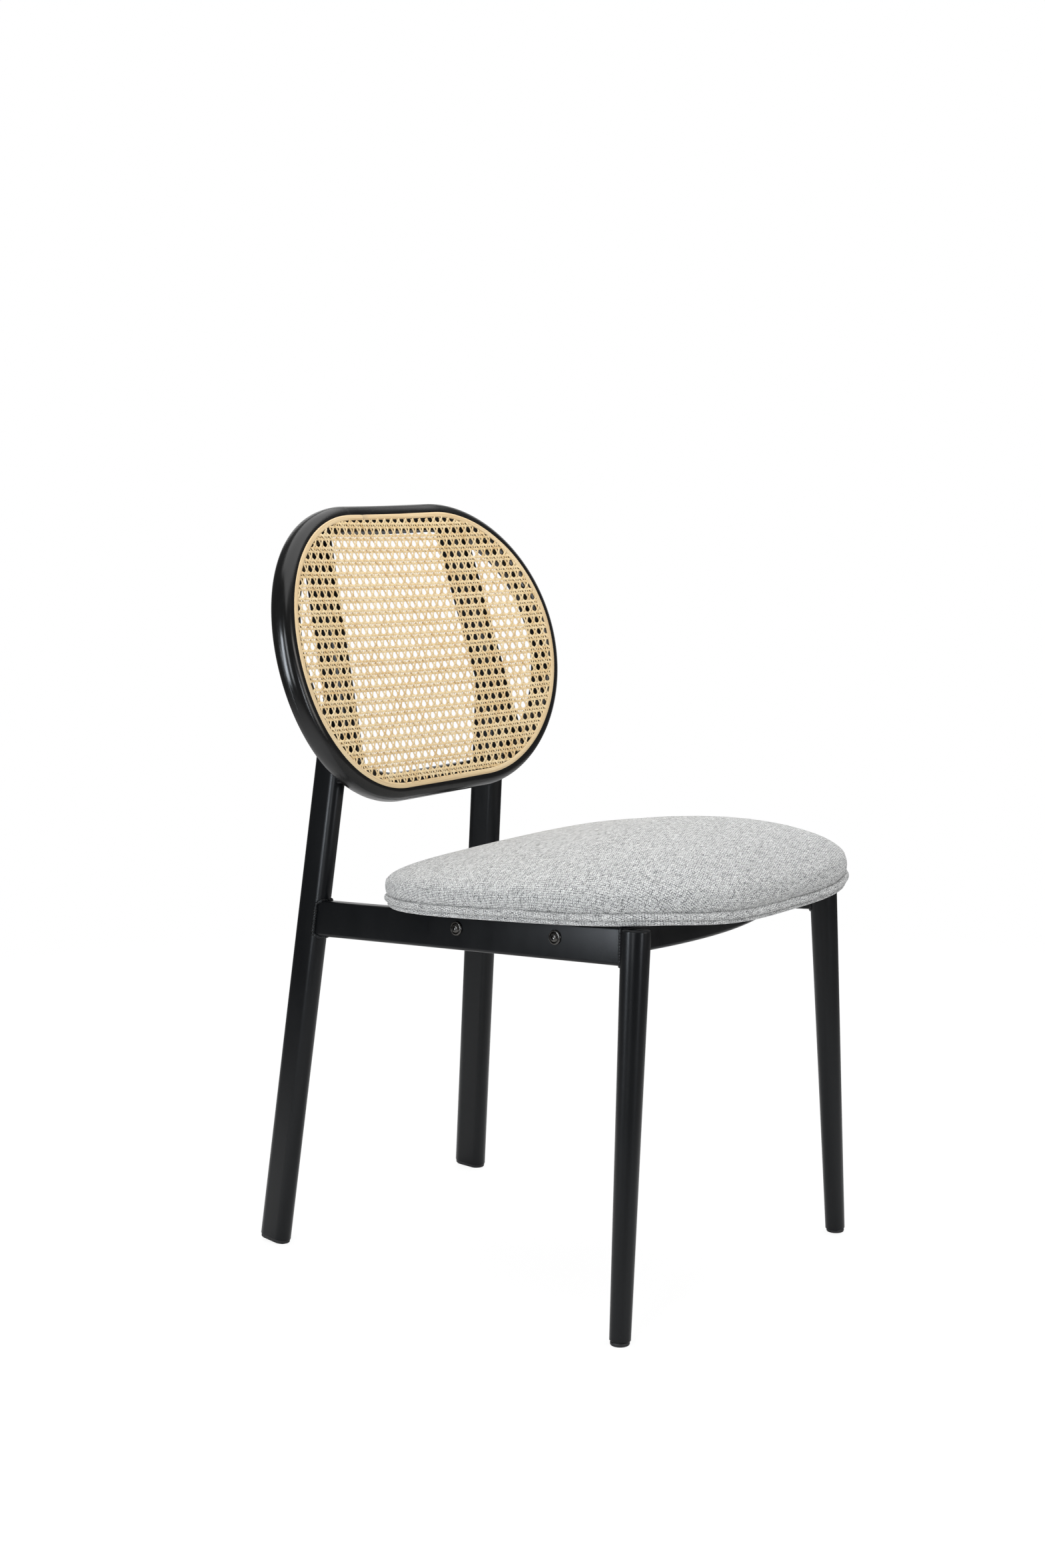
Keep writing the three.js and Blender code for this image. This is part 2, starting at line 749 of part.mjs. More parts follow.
const undersideShares = [0.55, 0.85];
const crownShares = [0.99, 0.96, 0.91, 0.83, 0.7, 0.5, 0.25];

// The pad's outside, drawn in by a thickness: a border that tucks under, a sewn seam and a crowned top
function padRings(shrink, seamed) {
  const tuck = (z) => shrink + borderTuck * ((borderHeight - z) / borderHeight) ** 2;
  const foldInset = tuck(0) + borderTuck / 2;
  const foldHeight = shrink + borderTuck / 4;
  const rings = undersideShares.map((share) => seatRing(foldInset, share, () => shrink));
  rings.push(seatRing(foldInset, 1, () => shrink));
  rings.push(seatRing(tuck(foldHeight), 1, () => foldHeight));
  if (seamed) {
    rings.push(seatRing(tuck(seamHeight - seamWidth), 1, () => seamHeight - seamWidth));
    rings.push(seatRing(tuck(seamHeight) + seamDepth, 1, () => seamHeight));
    rings.push(seatRing(tuck(seamHeight + seamWidth), 1, () => seamHeight + seamWidth));
  } else {
    rings.push(seatRing(tuck(seamHeight) + seamDepth, 1, () => seamHeight));
  }
  rings.push(seatRing(shrink, 1, () => borderHeight));
  for (const share of crownShares) {
    rings.push(seatRing(shrink, share, (y) => borderHeight + crown(share, y, shrink)));
  }
  return rings;
}

function padBody(shrink, seamed = false) {
  return solidOf(ringsGeometry(padRings(shrink, seamed), false));
}

function seatCover() {
  const hole = seatSlab(fabricLip, -overrun, 2 * fabricThickness);
  return geometryOf(padBody(0, true).subtract(padBody(fabricThickness)).subtract(hole));
}

// A plate with the seat's plan that follows the fall of the front edge
function seatSlab(inset, from, to) {
  const under = undersideShares.map((share) => seatRing(inset, share, () => from));
  const over = undersideShares.map((share) => seatRing(inset, share, () => to)).reverse();
  const edge = [seatRing(inset, 1, () => from), seatRing(inset, 1, () => to)];
  return solidOf(ringsGeometry([...under, ...edge, ...over], false));
}

const boardBottom = fabricThickness + fitGap;
const boardTop = boardBottom + boardThickness;
const boardInset = borderTuck + fabricThickness + borderTuck;

function seatBoard() {
  let board = padBody(boardBottom).intersect(seatSlab(boardInset, -overrun, boardTop));
  for (const { matrix } of battenScrewMatrices()) {
    const hole = cylinder(screwDiameter + 2 * fitGap, -battenScrewLength - fitGap, 0, smallSteps);
    board = board.subtract(moved(solidOf(hole), matrix));
  }
  return geometryOf(board);
}

function seatFoam() {
  const under = seatSlab(boardInset - fitGap, -overrun, boardTop + fitGap);
  return geometryOf(padBody(boardBottom).subtract(under));
}

function dustCover() {
  let cover = padBody(0).subtract(padBody(dustCoverThickness));
  cover = cover.intersect(seatSlab(dustCoverInset, -overrun, 2 * dustCoverThickness));
  for (const { matrix } of battenScrewMatrices()) {
    const hole = cylinder(screwDiameter + 2 * fitGap, -battenScrewLength, 0, smallSteps);
    cover = cover.subtract(moved(solidOf(hole), matrix));
  }
  return geometryOf(cover);
}

const battenTop = boardBottom - 2 * fitGap - dustCoverThickness;
function battenScrewMatrices() {
  const matrices = [];
  for (const side of [1, -1]) {
    for (const [place, along] of [['front', -1], ['rear', 1]]) {
      const y = battenCentreY + along * battenScrewSpread;
      const point = new THREE.Vector3(side * battenX, y, battenTop - battenHeight);
      matrices.push({ side, place, matrix: placed(point, new THREE.Euler(Math.PI, 0, 0)) });
    }
  }
  return matrices;
}

function seatBatten(side) {
  const box = new THREE.BoxGeometry(battenWidth + overrun, battenLength, battenHeight);
  box.translate(side * (battenX + overrun / 2), battenCentreY, battenTop - battenHeight / 2);
  let batten = solidOf(box);
  for (const end of outsideRails(seatMatrix)) {
    batten = batten.subtract(end);
  }
  const toSeat = inFrame(sideFrameMatrix(side), seatMatrix);
  const from = side > 0 ? -railWidth - insertLength : 0;
  for (const hole of boltHoles(insertDiameter + 2 * fitGap, from, from + railWidth + insertLength)) {
    batten = batten.subtract(moved(hole, toSeat));
  }
  for (const hole of boltHoles(boltDiameter + 2 * fitGap, -boltLength, boltLength)) {
    batten = batten.subtract(moved(hole, toSeat));
  }
  for (const { side: onSide, matrix } of battenScrewMatrices()) {
    if (onSide === side) {
      const hole = cylinder(screwDiameter + 2 * fitGap, -battenScrewLength, overrun, smallSteps);
      batten = batten.subtract(moved(solidOf(hole), matrix));
    }
  }
  return geometryOf(batten);
}

// Seat fasteners, drawn along +Z with the head outside

function seatBolt() {
  const radius = boltHeadDiameter / 2;
  const head = solidOf(lathed([
    [0, -boltLength],
    [boltDiameter / 2, -boltLength],
    [boltDiameter / 2, 0],
    [radius, 0],
    [radius, boltHeadHeight * 0.25],
    [radius * 0.85, boltHeadHeight * 0.7],
    [radius / 2, boltHeadHeight],
    [0, boltHeadHeight],
  ], smallSteps));
  const socket = new THREE.CylinderGeometry(
    boltSocketAcross / Math.sqrt(3), boltSocketAcross / Math.sqrt(3), 2 * boltSocketDepth, 6);
  socket.rotateX(Math.PI / 2);
  socket.translate(0, 0, boltHeadHeight);
  return geometryOf(head.subtract(solidOf(socket)));
}

function cupWasher() {
  const inner = boltDiameter / 2 + fitGap;
  const outer = washerDiameter / 2;
  const seat = boltHeadDiameter / 2 + fitGap;
  return lathed([
    [inner, 0],
    [outer, 0],
    [outer - washerRim / 3, washerHeight * 0.7],
    [outer - washerRim, washerHeight],
    [seat, washerHeight - washerRim / 3],
    [seat, washerRim],
    [inner, washerRim],
    [inner, 0],
  ], smallSteps);
}

function insertNut() {
  const inner = boltDiameter / 2 + fitGap;
  const outer = insertDiameter / 2;
  return lathed([[inner, -insertLength], [outer, -insertLength], [outer, 0], [inner, 0], [inner, -insertLength]],
    smallSteps);
}

function boltMatrix(side, y, out) {
  const turn = new THREE.Euler(0, side * Math.PI / 2, 0);
  return placed(new THREE.Vector3(side * out, y, railAxisZ(y) + boltRise), turn);
}

const chair = new THREE.Group();

for (const [hand, side] of [['left', 1], ['right', -1]]) {
  const sideFrame = new THREE.Group();
  const frame = sideFrameMatrix(side);
  sideFrame.applyMatrix4(frame);
  const underRear = frame.clone().multiply(rearLegMatrix);
  const underFront = frame.clone().multiply(frontLegMatrix);
  sideFrame.add(part(`rear_leg_${hand}`, rearLeg(), frameBlack, rearLegMatrix));
  sideFrame.add(part(`rear_foot_${hand}`, rearFoot(underRear), plasticBlack, rearLegMatrix));
  sideFrame.add(part(`back_upright_${hand}`, backUpright(side), frameBlack, uprightMatrix));
  sideFrame.add(part(`front_leg_${hand}`, frontLeg(), frameBlack, frontLegMatrix));
  sideFrame.add(part(`front_leg_cap_${hand}`, frontLegCap(), frameBlack, frontLegMatrix));
  sideFrame.add(part(`front_foot_${hand}`, frontFoot(underFront), plasticBlack, frontLegMatrix));
  sideFrame.add(part(`side_rail_${hand}`, sideRail(side), frameBlack));
  for (const [place, y] of [['rear', boltRearY], ['front', boltFrontY]]) {
    const face = railWidth / 2 + fitGap;
    const label = `${place}_${hand}`;
    const head = boltMatrix(side, y, face + washerRim + fitGap);
    sideFrame.add(part(`cup_washer_${label}`, cupWasher(), boltNickel, boltMatrix(side, y, face)));
    sideFrame.add(part(`seat_bolt_${label}`, seatBolt(), boltNickel, head));
    sideFrame.add(part(`insert_nut_${label}`, insertNut(), zincSteel, boltMatrix(side, y, -face - fitGap)));
  }
  chair.add(sideFrame);
}

const seat = new THREE.Group();
seat.applyMatrix4(seatMatrix);
seat.add(part('front_rail', frontRail(), frameBlack));
seat.add(part('rear_rail', rearRail(), frameBlack));
seat.add(part('seat_board', seatBoard(), plywood));
seat.add(part('seat_foam', seatFoam(), foamYellow));
seat.add(part('seat_cover', seatCover(), fabricGrey));
seat.add(part('dust_cover', dustCover(), dustBlack));
for (const [hand, side] of [['left', 1], ['right', -1]]) {
  seat.add(part(`seat_batten_${hand}`, seatBatten(side), plywood));
}
for (const { side, place, matrix } of battenScrewMatrices()) {
  const hand = side > 0 ? 'left' : 'right';
  const screw = geometryOf(screwGeometry(battenScrewLength));
  seat.add(part(`batten_screw_${place}_${hand}`, screw, zincSteel, matrix));
}
chair.add(seat);

const back = new THREE.Group();
back.applyMatrix4(backMatrix);
back.add(part('back_frame', backRing(), woodBlack));
back.add(part('cane_panel', canePanel(), caneTan));
back.add(part('cane_bead', obroundSweep(ringRadius, beadSection()), beadTan));
for (const { side, place, matrix } of tabMatrices()) {
  const hand = side > 0 ? 'left' : 'right';
  const screw = geometryOf(screwGeometry(backScrewLength));
  const head = matrix.clone().multiply(placed(new THREE.Vector3(0, 0, tabThickness + fitGap)));
  back.add(part(`mounting_tab_${place}_${hand}`, mountingTab(side, matrix), frameBlack, matrix));
  back.add(part(`back_screw_${place}_${hand}`, screw, zincSteel, head));
}
chair.add(back);

export default chair;
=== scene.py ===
"""Dining chair with a cane back: the visual model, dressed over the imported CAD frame. Metres, +Z up."""
import random
from math import asin, atan2, copysign, cos, dist, exp, floor, hypot, pi, radians, sin, sqrt, tan, tau as TAU

import bmesh
import bpy
import numpy as np
from mathutils import Matrix, Vector, noise


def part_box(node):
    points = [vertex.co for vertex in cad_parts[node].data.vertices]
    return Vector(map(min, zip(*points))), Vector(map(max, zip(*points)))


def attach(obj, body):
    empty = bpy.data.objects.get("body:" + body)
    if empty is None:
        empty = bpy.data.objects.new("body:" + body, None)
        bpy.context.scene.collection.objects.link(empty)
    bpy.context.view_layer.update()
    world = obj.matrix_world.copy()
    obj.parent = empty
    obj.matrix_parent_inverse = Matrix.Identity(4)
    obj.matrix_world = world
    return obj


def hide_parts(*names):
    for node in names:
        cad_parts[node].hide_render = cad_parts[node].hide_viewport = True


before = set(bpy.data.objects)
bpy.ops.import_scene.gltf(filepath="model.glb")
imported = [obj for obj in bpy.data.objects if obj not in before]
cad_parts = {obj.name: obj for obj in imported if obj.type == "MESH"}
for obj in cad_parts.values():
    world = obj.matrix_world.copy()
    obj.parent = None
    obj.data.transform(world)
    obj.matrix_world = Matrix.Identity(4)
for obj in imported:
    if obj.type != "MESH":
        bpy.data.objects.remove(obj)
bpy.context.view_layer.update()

MM = 0.001
rng = random.Random(20)

# Where the legs stand and how they lean
REAR_FOOT = (0.185, 0.279)
FRONT_FOOT = (0.225, -0.227)
LEAN_IN = radians(4.46)
REAR_RAKE = radians(5.86)
FRONT_RAKE = radians(1.06)
RECLINE = radians(15.4)
KINK = 0.632
SPAN = hypot(FRONT_FOOT[0] - REAR_FOOT[0], REAR_FOOT[1] - FRONT_FOOT[1])
TOE = atan2(FRONT_FOOT[0] - REAR_FOOT[0], REAR_FOOT[1] - FRONT_FOOT[1])
SIDE_X = (REAR_FOOT[0] + FRONT_FOOT[0]) / 2
SIDE_Y = (REAR_FOOT[1] + FRONT_FOOT[1]) / 2

# Tubes
OVAL = (0.022, 0.040)
LEG_FOOT_D = 0.0223
LEG_TOP_D = 0.031
RAIL = (0.020, 0.040)
RAIL_CORNER = 0.004
RAIL_Z = 0.3937
SEAT_TILT = radians(3.36)
FRONT_RAIL_R = 0.390
FRONT_RAIL_BACK = 0.193
REAR_RAIL_Y = 0.092
REAR_RAIL_H = 0.030
SEAT_GAP = 0.0003
UPRIGHT_SPAN = (-0.0955, 0.1889)

# Back
BACK_Y = 0.20739
BACK_Z = 0.677
BACK_TILT = radians(15)
BEND_R = 1.310
STRAIGHT = 0.150
RING_R = 0.1545
RING_W = 0.033
RING_D = 0.028
RING_POWER = 2.5
BEAD_OUT = 0.0008
BEAD_W = 0.0064
CANE_R = 0.1518
BELLY = 0.0034

# Seat
SEAT_HALF = 0.223
SEAT_FRONT = 0.300
SEAT_REAR = 0.154
WIDEST_Y = -0.056
PLAN_POWER = 3.4
BORDER = 0.023
SHOULDER = 0.0235
SHOULDER_POWER = 3.3
SHOULDER_FALL = 0.1 / 0.200
DOME = 0.026
DOME_POWER = 1.9
DOME_FALL = 0.68 / 0.200
FALL_START = 0.238
FALL_DROP = 0.011
SEAM_Z = 0.0138


# Meshes

def add_field(mesh, key, values):
    """Gives each point of a mesh a vector that a material can read."""
    layer = mesh.attributes.new(key, "FLOAT_VECTOR", "POINT")
    layer.data.foreach_set("vector", np.asarray(values, float).ravel())


def finish_mesh(name, points, faces, look, sharp, field):
    """A closed mesh object from points and faces, shaded smooth with sharp edges above an angle."""
    mesh = bpy.data.meshes.new(name)
    mesh.from_pydata([tuple(p) for p in points], [], faces)
    add_field(mesh, *field)
    shape = bmesh.new()
    shape.from_mesh(mesh)
    bmesh.ops.recalc_face_normals(shape, faces=shape.faces)
    limit = radians(sharp)
    for edge in shape.edges:
        edge.smooth = edge.calc_face_angle(0) <= limit
    for face in shape.faces:
        face.smooth = True
    shape.to_mesh(mesh)
    shape.free()
    mesh.materials.append(look.material)
    obj = bpy.data.objects.new(name, mesh)
    bpy.context.collection.objects.link(obj)
    return obj


def dress(obj, look, *nodes):
    """Puts a finished piece on the chair: its body and the CAD nodes that it stands for; the look argument is
    not used.
    """
    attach(obj, "root")
    if nodes:
        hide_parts(*nodes)


def circle(steps):
    """Points of a unit circle."""
    return [(cos(TAU * k / steps), sin(TAU * k / steps)) for k in range(steps)]


class Shell:
    """Collects swept and turned surfaces into one mesh, with a point's place along and round its sweep."""

    def __init__(self):
        self.points, self.faces, self.along = [], [], []

    def sweep(self, rings, closed=False, tone=0.0, start=0.0):
        """Joins rings of points; closed joins the last ring to the first, otherwise both ends are capped."""
        base, count = len(self.points), len(rings[0])
        length, before = start, None
        for ring in rings:
            centre = sum(ring, Vector()) / count
            length += (centre - before).length if before else 0
            before = centre
            self.points += ring
            self.along += [(length, k / count, tone) for k in range(count)]
        bands = len(rings) if closed else len(rings) - 1
        for i in range(bands):
            a, b = base + i * count, base + (i + 1) % len(rings) * count
            for k in range(count):
                n = (k + 1) % count
                self.faces.append((a + k, a + n, b + n, b + k))
        if not closed:
            for ring in (0, len(rings) - 1):
                first = base + ring * count
                self.faces.append(tuple(range(first, first + count)))
        return self

    def lathe(self, profile, matrix, steps):
        """Turns (radius, height) pairs round the matrix's z axis; a zero radius closes an end."""
        rows = []
        for r, z in profile:
            row = circle(steps)[:1 if r == 0 else steps]
            rows.append(range(len(self.points), len(self.points) + len(row)))
            self.points += [matrix @ Vector((r * c, r * s, z)) for c, s in row]
            self.along += [(z, k / steps, 0.0) for k in range(len(row))]
        for low, high in zip(rows, rows[1:]):
            for k in range(steps):
                n = (k + 1) % steps
                quad = [low[k % len(low)], low[n % len(low)], high[n % len(high)], high[k % len(high)]]
                face = list(dict.fromkeys(quad))
                if len(face) > 2:
                    self.faces.append(tuple(face))
        return self

    def mesh(self, name, look, sharp):
        return finish_mesh(name, self.points, self.faces, look, sharp, ("along", self.along))

    def piece(self, name, look, *nodes, sharp=40):
        dress(self.mesh(name, look, sharp), look, *nodes)


def obround(width, depth, grow, steps):
    """An oval of two half circles and two straight sides, its depth along y."""
    half, straight = width / 2 + grow, (depth - width) / 2
    points = []
    for end in (1, -1):
        for angle in np.linspace(0, pi, steps + 1):
            points.append((end * half * cos(angle), end * (straight + half * sin(angle))))
    return points


def rounded(width, height, corner, grow, steps):
    """A rectangle with rounded corners."""
    w, h, r = width / 2 + grow, height / 2 + grow, corner + grow
    points = []
    for quarter, (sx, sy) in enumerate(((1, 1), (-1, 1), (-1, -1), (1, -1))):
        for k in range(steps + 1):
            angle = (quarter + k / steps) * pi / 2
            points.append((sx * (w - r) + r * cos(angle), sy * (h - r) + r * sin(angle)))
    return points


def place(matrix, section, z):
    return [matrix @ Vector((x, y, z)) for x, y in section]


def side_matrix(side):
    """From a side frame's own plane, x across and y along it, to its place on the chair."""
    return shift(side * SIDE_X, SIDE_Y, 0) @ Matrix.Rotation(side * TOE, 4, "Z") @ ry(-side * LEAN_IN)


def rear_axis(z):
    return SPAN / 2 - z * tan(REAR_RAKE)


def front_axis(z):
    return -SPAN / 2 + z * tan(FRONT_RAKE)


def rail_axis(y):
    return RAIL_Z - y * tan(SEAT_TILT)


def rx(angle):
    return Matrix.Rotation(angle, 4, "X")


def ry(angle):
    return Matrix.Rotation(angle, 4, "Y")


def shift(x, y, z):
    return Matrix.Translation((x, y, z))


def uneven(x, y, z):
    return noise.noise(Vector((x, y, z)))


def signed_power(value, power):
    return copysign(abs(value) ** power, value)


def in_metres(pairs):
    """Pairs of millimetres in metres."""
    return [(a * MM, b * MM) for a, b in pairs]


# The two side frames: name, sign and place
HANDS = [(hand, side, side_matrix(side)) for hand, side in (("left", 1), ("right", -1))]
REAR_LEG = shift(0, rear_axis(0), 0) @ rx(REAR_RAKE)
FRONT_LEG = shift(0, front_axis(0), 0) @ rx(-FRONT_RAKE)
UPRIGHT = shift(0, rear_axis(KINK), KINK) @ rx(-RECLINE)
SIDE_RAIL = shift(0, 0, rail_axis(0)) @ rx(-pi / 2 - SEAT_TILT)
RAIL_TOP = side_matrix(1) @ Vector(
    (RAIL[0] / 2 - RAIL_CORNER / 2, 0, rail_axis(0) + RAIL[1] / 2 / cos(SEAT_TILT)))
SEAT = shift(0, 0, RAIL_TOP.z + RAIL_TOP.y * tan(SEAT_TILT) + SEAT_GAP) @ rx(-SEAT_TILT)
BACK = shift(0, BACK_Y, BACK_Z) @ rx(-BACK_TILT)
LEG_TOP = (rail_axis(front_axis(RAIL_Z)) + RAIL[1] / 2 - 2 * MM) / cos(FRONT_RAKE)
REAR_LEG_TOP = KINK / cos(REAR_RAKE)


# Materials

class Tree:
    """A node tree and short ways to add its nodes."""

    def __init__(self, owner):
        owner.use_nodes = True
        self.nodes, self.links = owner.node_tree.nodes, owner.node_tree.links

    def add(self, kind, inputs=(), **settings):
        node = self.nodes.new("ShaderNode" + kind)
        for key, value in settings.items():
            setattr(node, key, value)
        for key, value in dict(inputs).items():
            self.feed(node.inputs[key], value)
        return node

    def feed(self, socket, value):
        if isinstance(value, bpy.types.NodeSocket):
            self.links.new(value, socket)
        else:
            socket.default_value = value

    def places(self):
        return self.add("TexCoord").outputs["Object"]

    def attribute(self, name):
        return self.add("Attribute", attribute_name=name).outputs["Vector"]

    def math(self, kind, a, b=0.0):
        return self.add("Math", {0: a, 1: b}, operation=kind).outputs[0]

    def plus(self, a, b):
        return self.math("ADD", a, b)

    def minus(self, a, b):
        return self.math("SUBTRACT", a, b)

    def times(self, a, b):
        return self.math("MULTIPLY", a, b)

    def scaled(self, vector, by):
        return self.add("VectorMath", {0: vector, 1: by}, operation="MULTIPLY").outputs[0]

    def split(self, vector):
        return self.add("SeparateXYZ", {0: vector}).outputs

    def joined(self, x=0.0, y=0.0, z=0.0):
        return self.add("CombineXYZ", {0: x, 1: y, 2: z}).outputs[0]

    def noise(self, vector, scale, detail=2.0, rough=0.5):
        inputs = {"Vector": vector, "Scale": scale, "Detail": detail, "Roughness": rough}
        return self.add("TexNoise", inputs).outputs[0]

    def streaks(self, u, v, scales, w=0.0, detail=2.0, rough=0.5):
        """Noise drawn out along u or v, each with a scale of its own."""
        at = self.joined(self.times(u, scales[0]), self.times(v, scales[1]), w)
        return self.noise(at, 1.0, detail, rough)

    def white(self, vector):
        return self.add("TexWhiteNoise", {"Vector": vector}).outputs["Value"]

    def ramp(self, fac, *stops):
        node = self.add("ValToRGB", {"Fac": fac})
        elements = node.color_ramp.elements
        while len(elements) < len(stops):
            elements.new(0.5)
        for element, (at, colour) in zip(elements, stops):
            element.position = at
            element.color = (*colour, 1)
        return node.outputs[0]

    def span(self, value, low, high, to_low=0.0, to_high=1.0):
        names = ("Value", "From Min", "From Max", "To Min", "To Max")
        node = self.add("MapRange", zip(names, (value, low, high, to_low, to_high)))
        return node.outputs[0]

    def mix(self, fac, a, b):
        node = self.add("Mix", data_type="RGBA")
        for index, value in ((0, fac), (6, a), (7, b)):
            if isinstance(value, tuple):
                value = (*value, 1.0)
            self.feed(node.inputs[index], value)
        return node.outputs[2]

    def stain(self, tone, colour, value, low, high, strength=1.0):
        """The tone with a colour over it where the value is above low, at its full strength from high on."""
        return self.mix(self.span(value, low, high, 0.0, strength), tone, colour)


class Graph(Tree):
    """One material: its tree and the inputs of its shader."""

    def __init__(self, name, roughness=0.5, metallic=0.0, specular=0.5):
        self.slot, self.material = name, bpy.data.materials.new(name)
        super().__init__(self.material)
        self.shader = self.nodes["Principled BSDF"]
        self.surface("Roughness", roughness)
        self.surface("Metallic", metallic)
        self.surface("Specular IOR Level", specular)

    def surface(self, name, value):
        self.feed(self.shader.inputs[name], value)

    def bump(self, height, distance, strength):
        inputs = {"Height": height, "Distance": distance, "Strength": strength}
        self.surface("Normal", self.add("Bump", inputs).outputs[0])


def frame_paint():
    """Satin black powder coat on steel: fine orange peel, slow gloss changes and a few pale dust specks."""
    g = Graph("frame_black", specular=0.25)
    at = g.places()
    slow = g.noise(at, 9.0, 3.0)
    tone = g.mix(slow, (0.0026, 0.0031, 0.0039), (0.0046, 0.0053, 0.0065))
    speck = g.span(g.noise(at, 900.0, 1.0), 0.80, 0.84)
    sparse = g.span(g.noise(at, 22.0, 1.0), 0.60, 0.66)
    g.surface("Base Color", g.mix(g.times(speck, sparse), tone, (0.10, 0.10, 0.11)))
    smear = g.noise(g.scaled(at, (1.0, 1.0, 0.3)), 38.0, 4.0, 0.6)
    g.surface("Roughness", g.span(smear, 0.3, 0.7, 0.27, 0.36))
    peel = g.noise(at, 650.0, 2.0)
    g.bump(peel, 0.00012, 0.35)
    return g


def ring_paint():
    """Black lacquer over bent wood: long faint grain and a soft sheen."""
    g = Graph("rim_black", specular=0.45)
    u, v, _ = g.split(g.attribute("along"))
    grain = g.streaks(u, v, (14.0, 60.0), detail=5.0, rough=0.6)
    at = g.places()
    tone = g.mix(grain, (0.0036, 0.0036, 0.0038), (0.0074, 0.0073, 0.0073))
    g.surface("Base Color", tone)
    g.surface("Roughness", g.span(g.noise(at, 55.0, 4.0, 0.6), 0.3, 0.7, 0.17, 0.25))
    height = g.plus(grain, g.times(g.noise(at, 700.0, 2.0), 0.25))
    g.bump(height, 0.00022, 0.3)
    return g


def cane_peel():
    """Split cane: a glossy straw-coloured peel with lengthwise fibres, nodes and brown flecks."""
    g = Graph("cane", specular=0.42)
    u, v, tone = g.split(g.attribute("along"))
    lift = g.times(tone, 7.3)
    fibre = g.streaks(u, v, (60.0, 9.0), lift, 4.0, 0.6)
    patch = g.noise(g.joined(g.times(u, 22.0), lift, tone), 1.0, 2.0)
    straw = g.ramp(tone, (0.0, (0.70, 0.46, 0.20)), (0.35, (0.82, 0.60, 0.30)), (0.7, (0.90, 0.71, 0.42)),
                   (1.0, (0.76, 0.52, 0.24)))
    straw = g.stain(straw, (0.92, 0.75, 0.47), patch, 0.35, 0.75)
    straw = g.stain(straw, (0.54, 0.33, 0.13), fibre, 0.5, 0.8, 0.5)
    # Painted shade: the strands' two lower side edges are stained brown, standing in for the shade where
    # strands meet and cross
    rim = g.math("ABSOLUTE", g.minus(v, 0.4))
    straw = g.stain(straw, (0.46, 0.28, 0.11), rim, 0.28, 0.44, 0.4)
    fleck = g.streaks(u, v, (190.0, 5.0), g.times(lift, 3.1))
    rare = g.noise(g.joined(g.times(u, 45.0), lift, 0.7), 1.0, 1.0)
    mark = g.times(g.span(fleck, 0.62, 0.70), g.span(rare, 0.50, 0.60))
    straw = g.mix(g.times(mark, 0.8), straw, (0.20, 0.095, 0.035))
    g.surface("Base Color", straw)
    g.surface("Roughness", g.span(fibre, 0.3, 0.8, 0.38, 0.62))
    g.bump(fibre, 0.00015, 0.5)
    return g


def bead_reed():
    """The reed spline: pale gold, with brown lengthwise streaks and a joint stained a little grey."""
    g = Graph("bead", specular=0.35)
    u, v, _ = g.split(g.attribute("along"))
    fine = g.streaks(u, v, (14.0, 38.0), detail=4.0, rough=0.65)
    broad = g.streaks(u, v, (9.0, 9.0), 2.0, 3.0, 0.6)
    slow = g.noise(g.joined(g.times(u, 6.0), 0.3), 1.0, 3.0)
    pale = g.mix(g.span(slow, 0.35, 0.7), (0.80, 0.60, 0.34), (0.88, 0.72, 0.46))
    pale = g.stain(pale, (0.56, 0.36, 0.17), broad, 0.48, 0.72, 0.65)
    pale = g.stain(pale, (0.50, 0.31, 0.14), fine, 0.46, 0.72, 0.6)
    joint = g.math("ABSOLUTE", u)
    stain = g.times(g.span(joint, 0.0, 0.012, 0.75, 0.0), g.noise(g.places(), 260.0, 2.0))
    pale = g.mix(stain, pale, (0.22, 0.20, 0.18))
    g.surface("Base Color", pale)
    g.surface("Roughness", g.span(fine, 0.3, 0.8, 0.34, 0.55))
    g.bump(fine, 0.00018, 0.45)
    return g


FLOAT_LENGTH = 0.00303
PICK = 0.00117


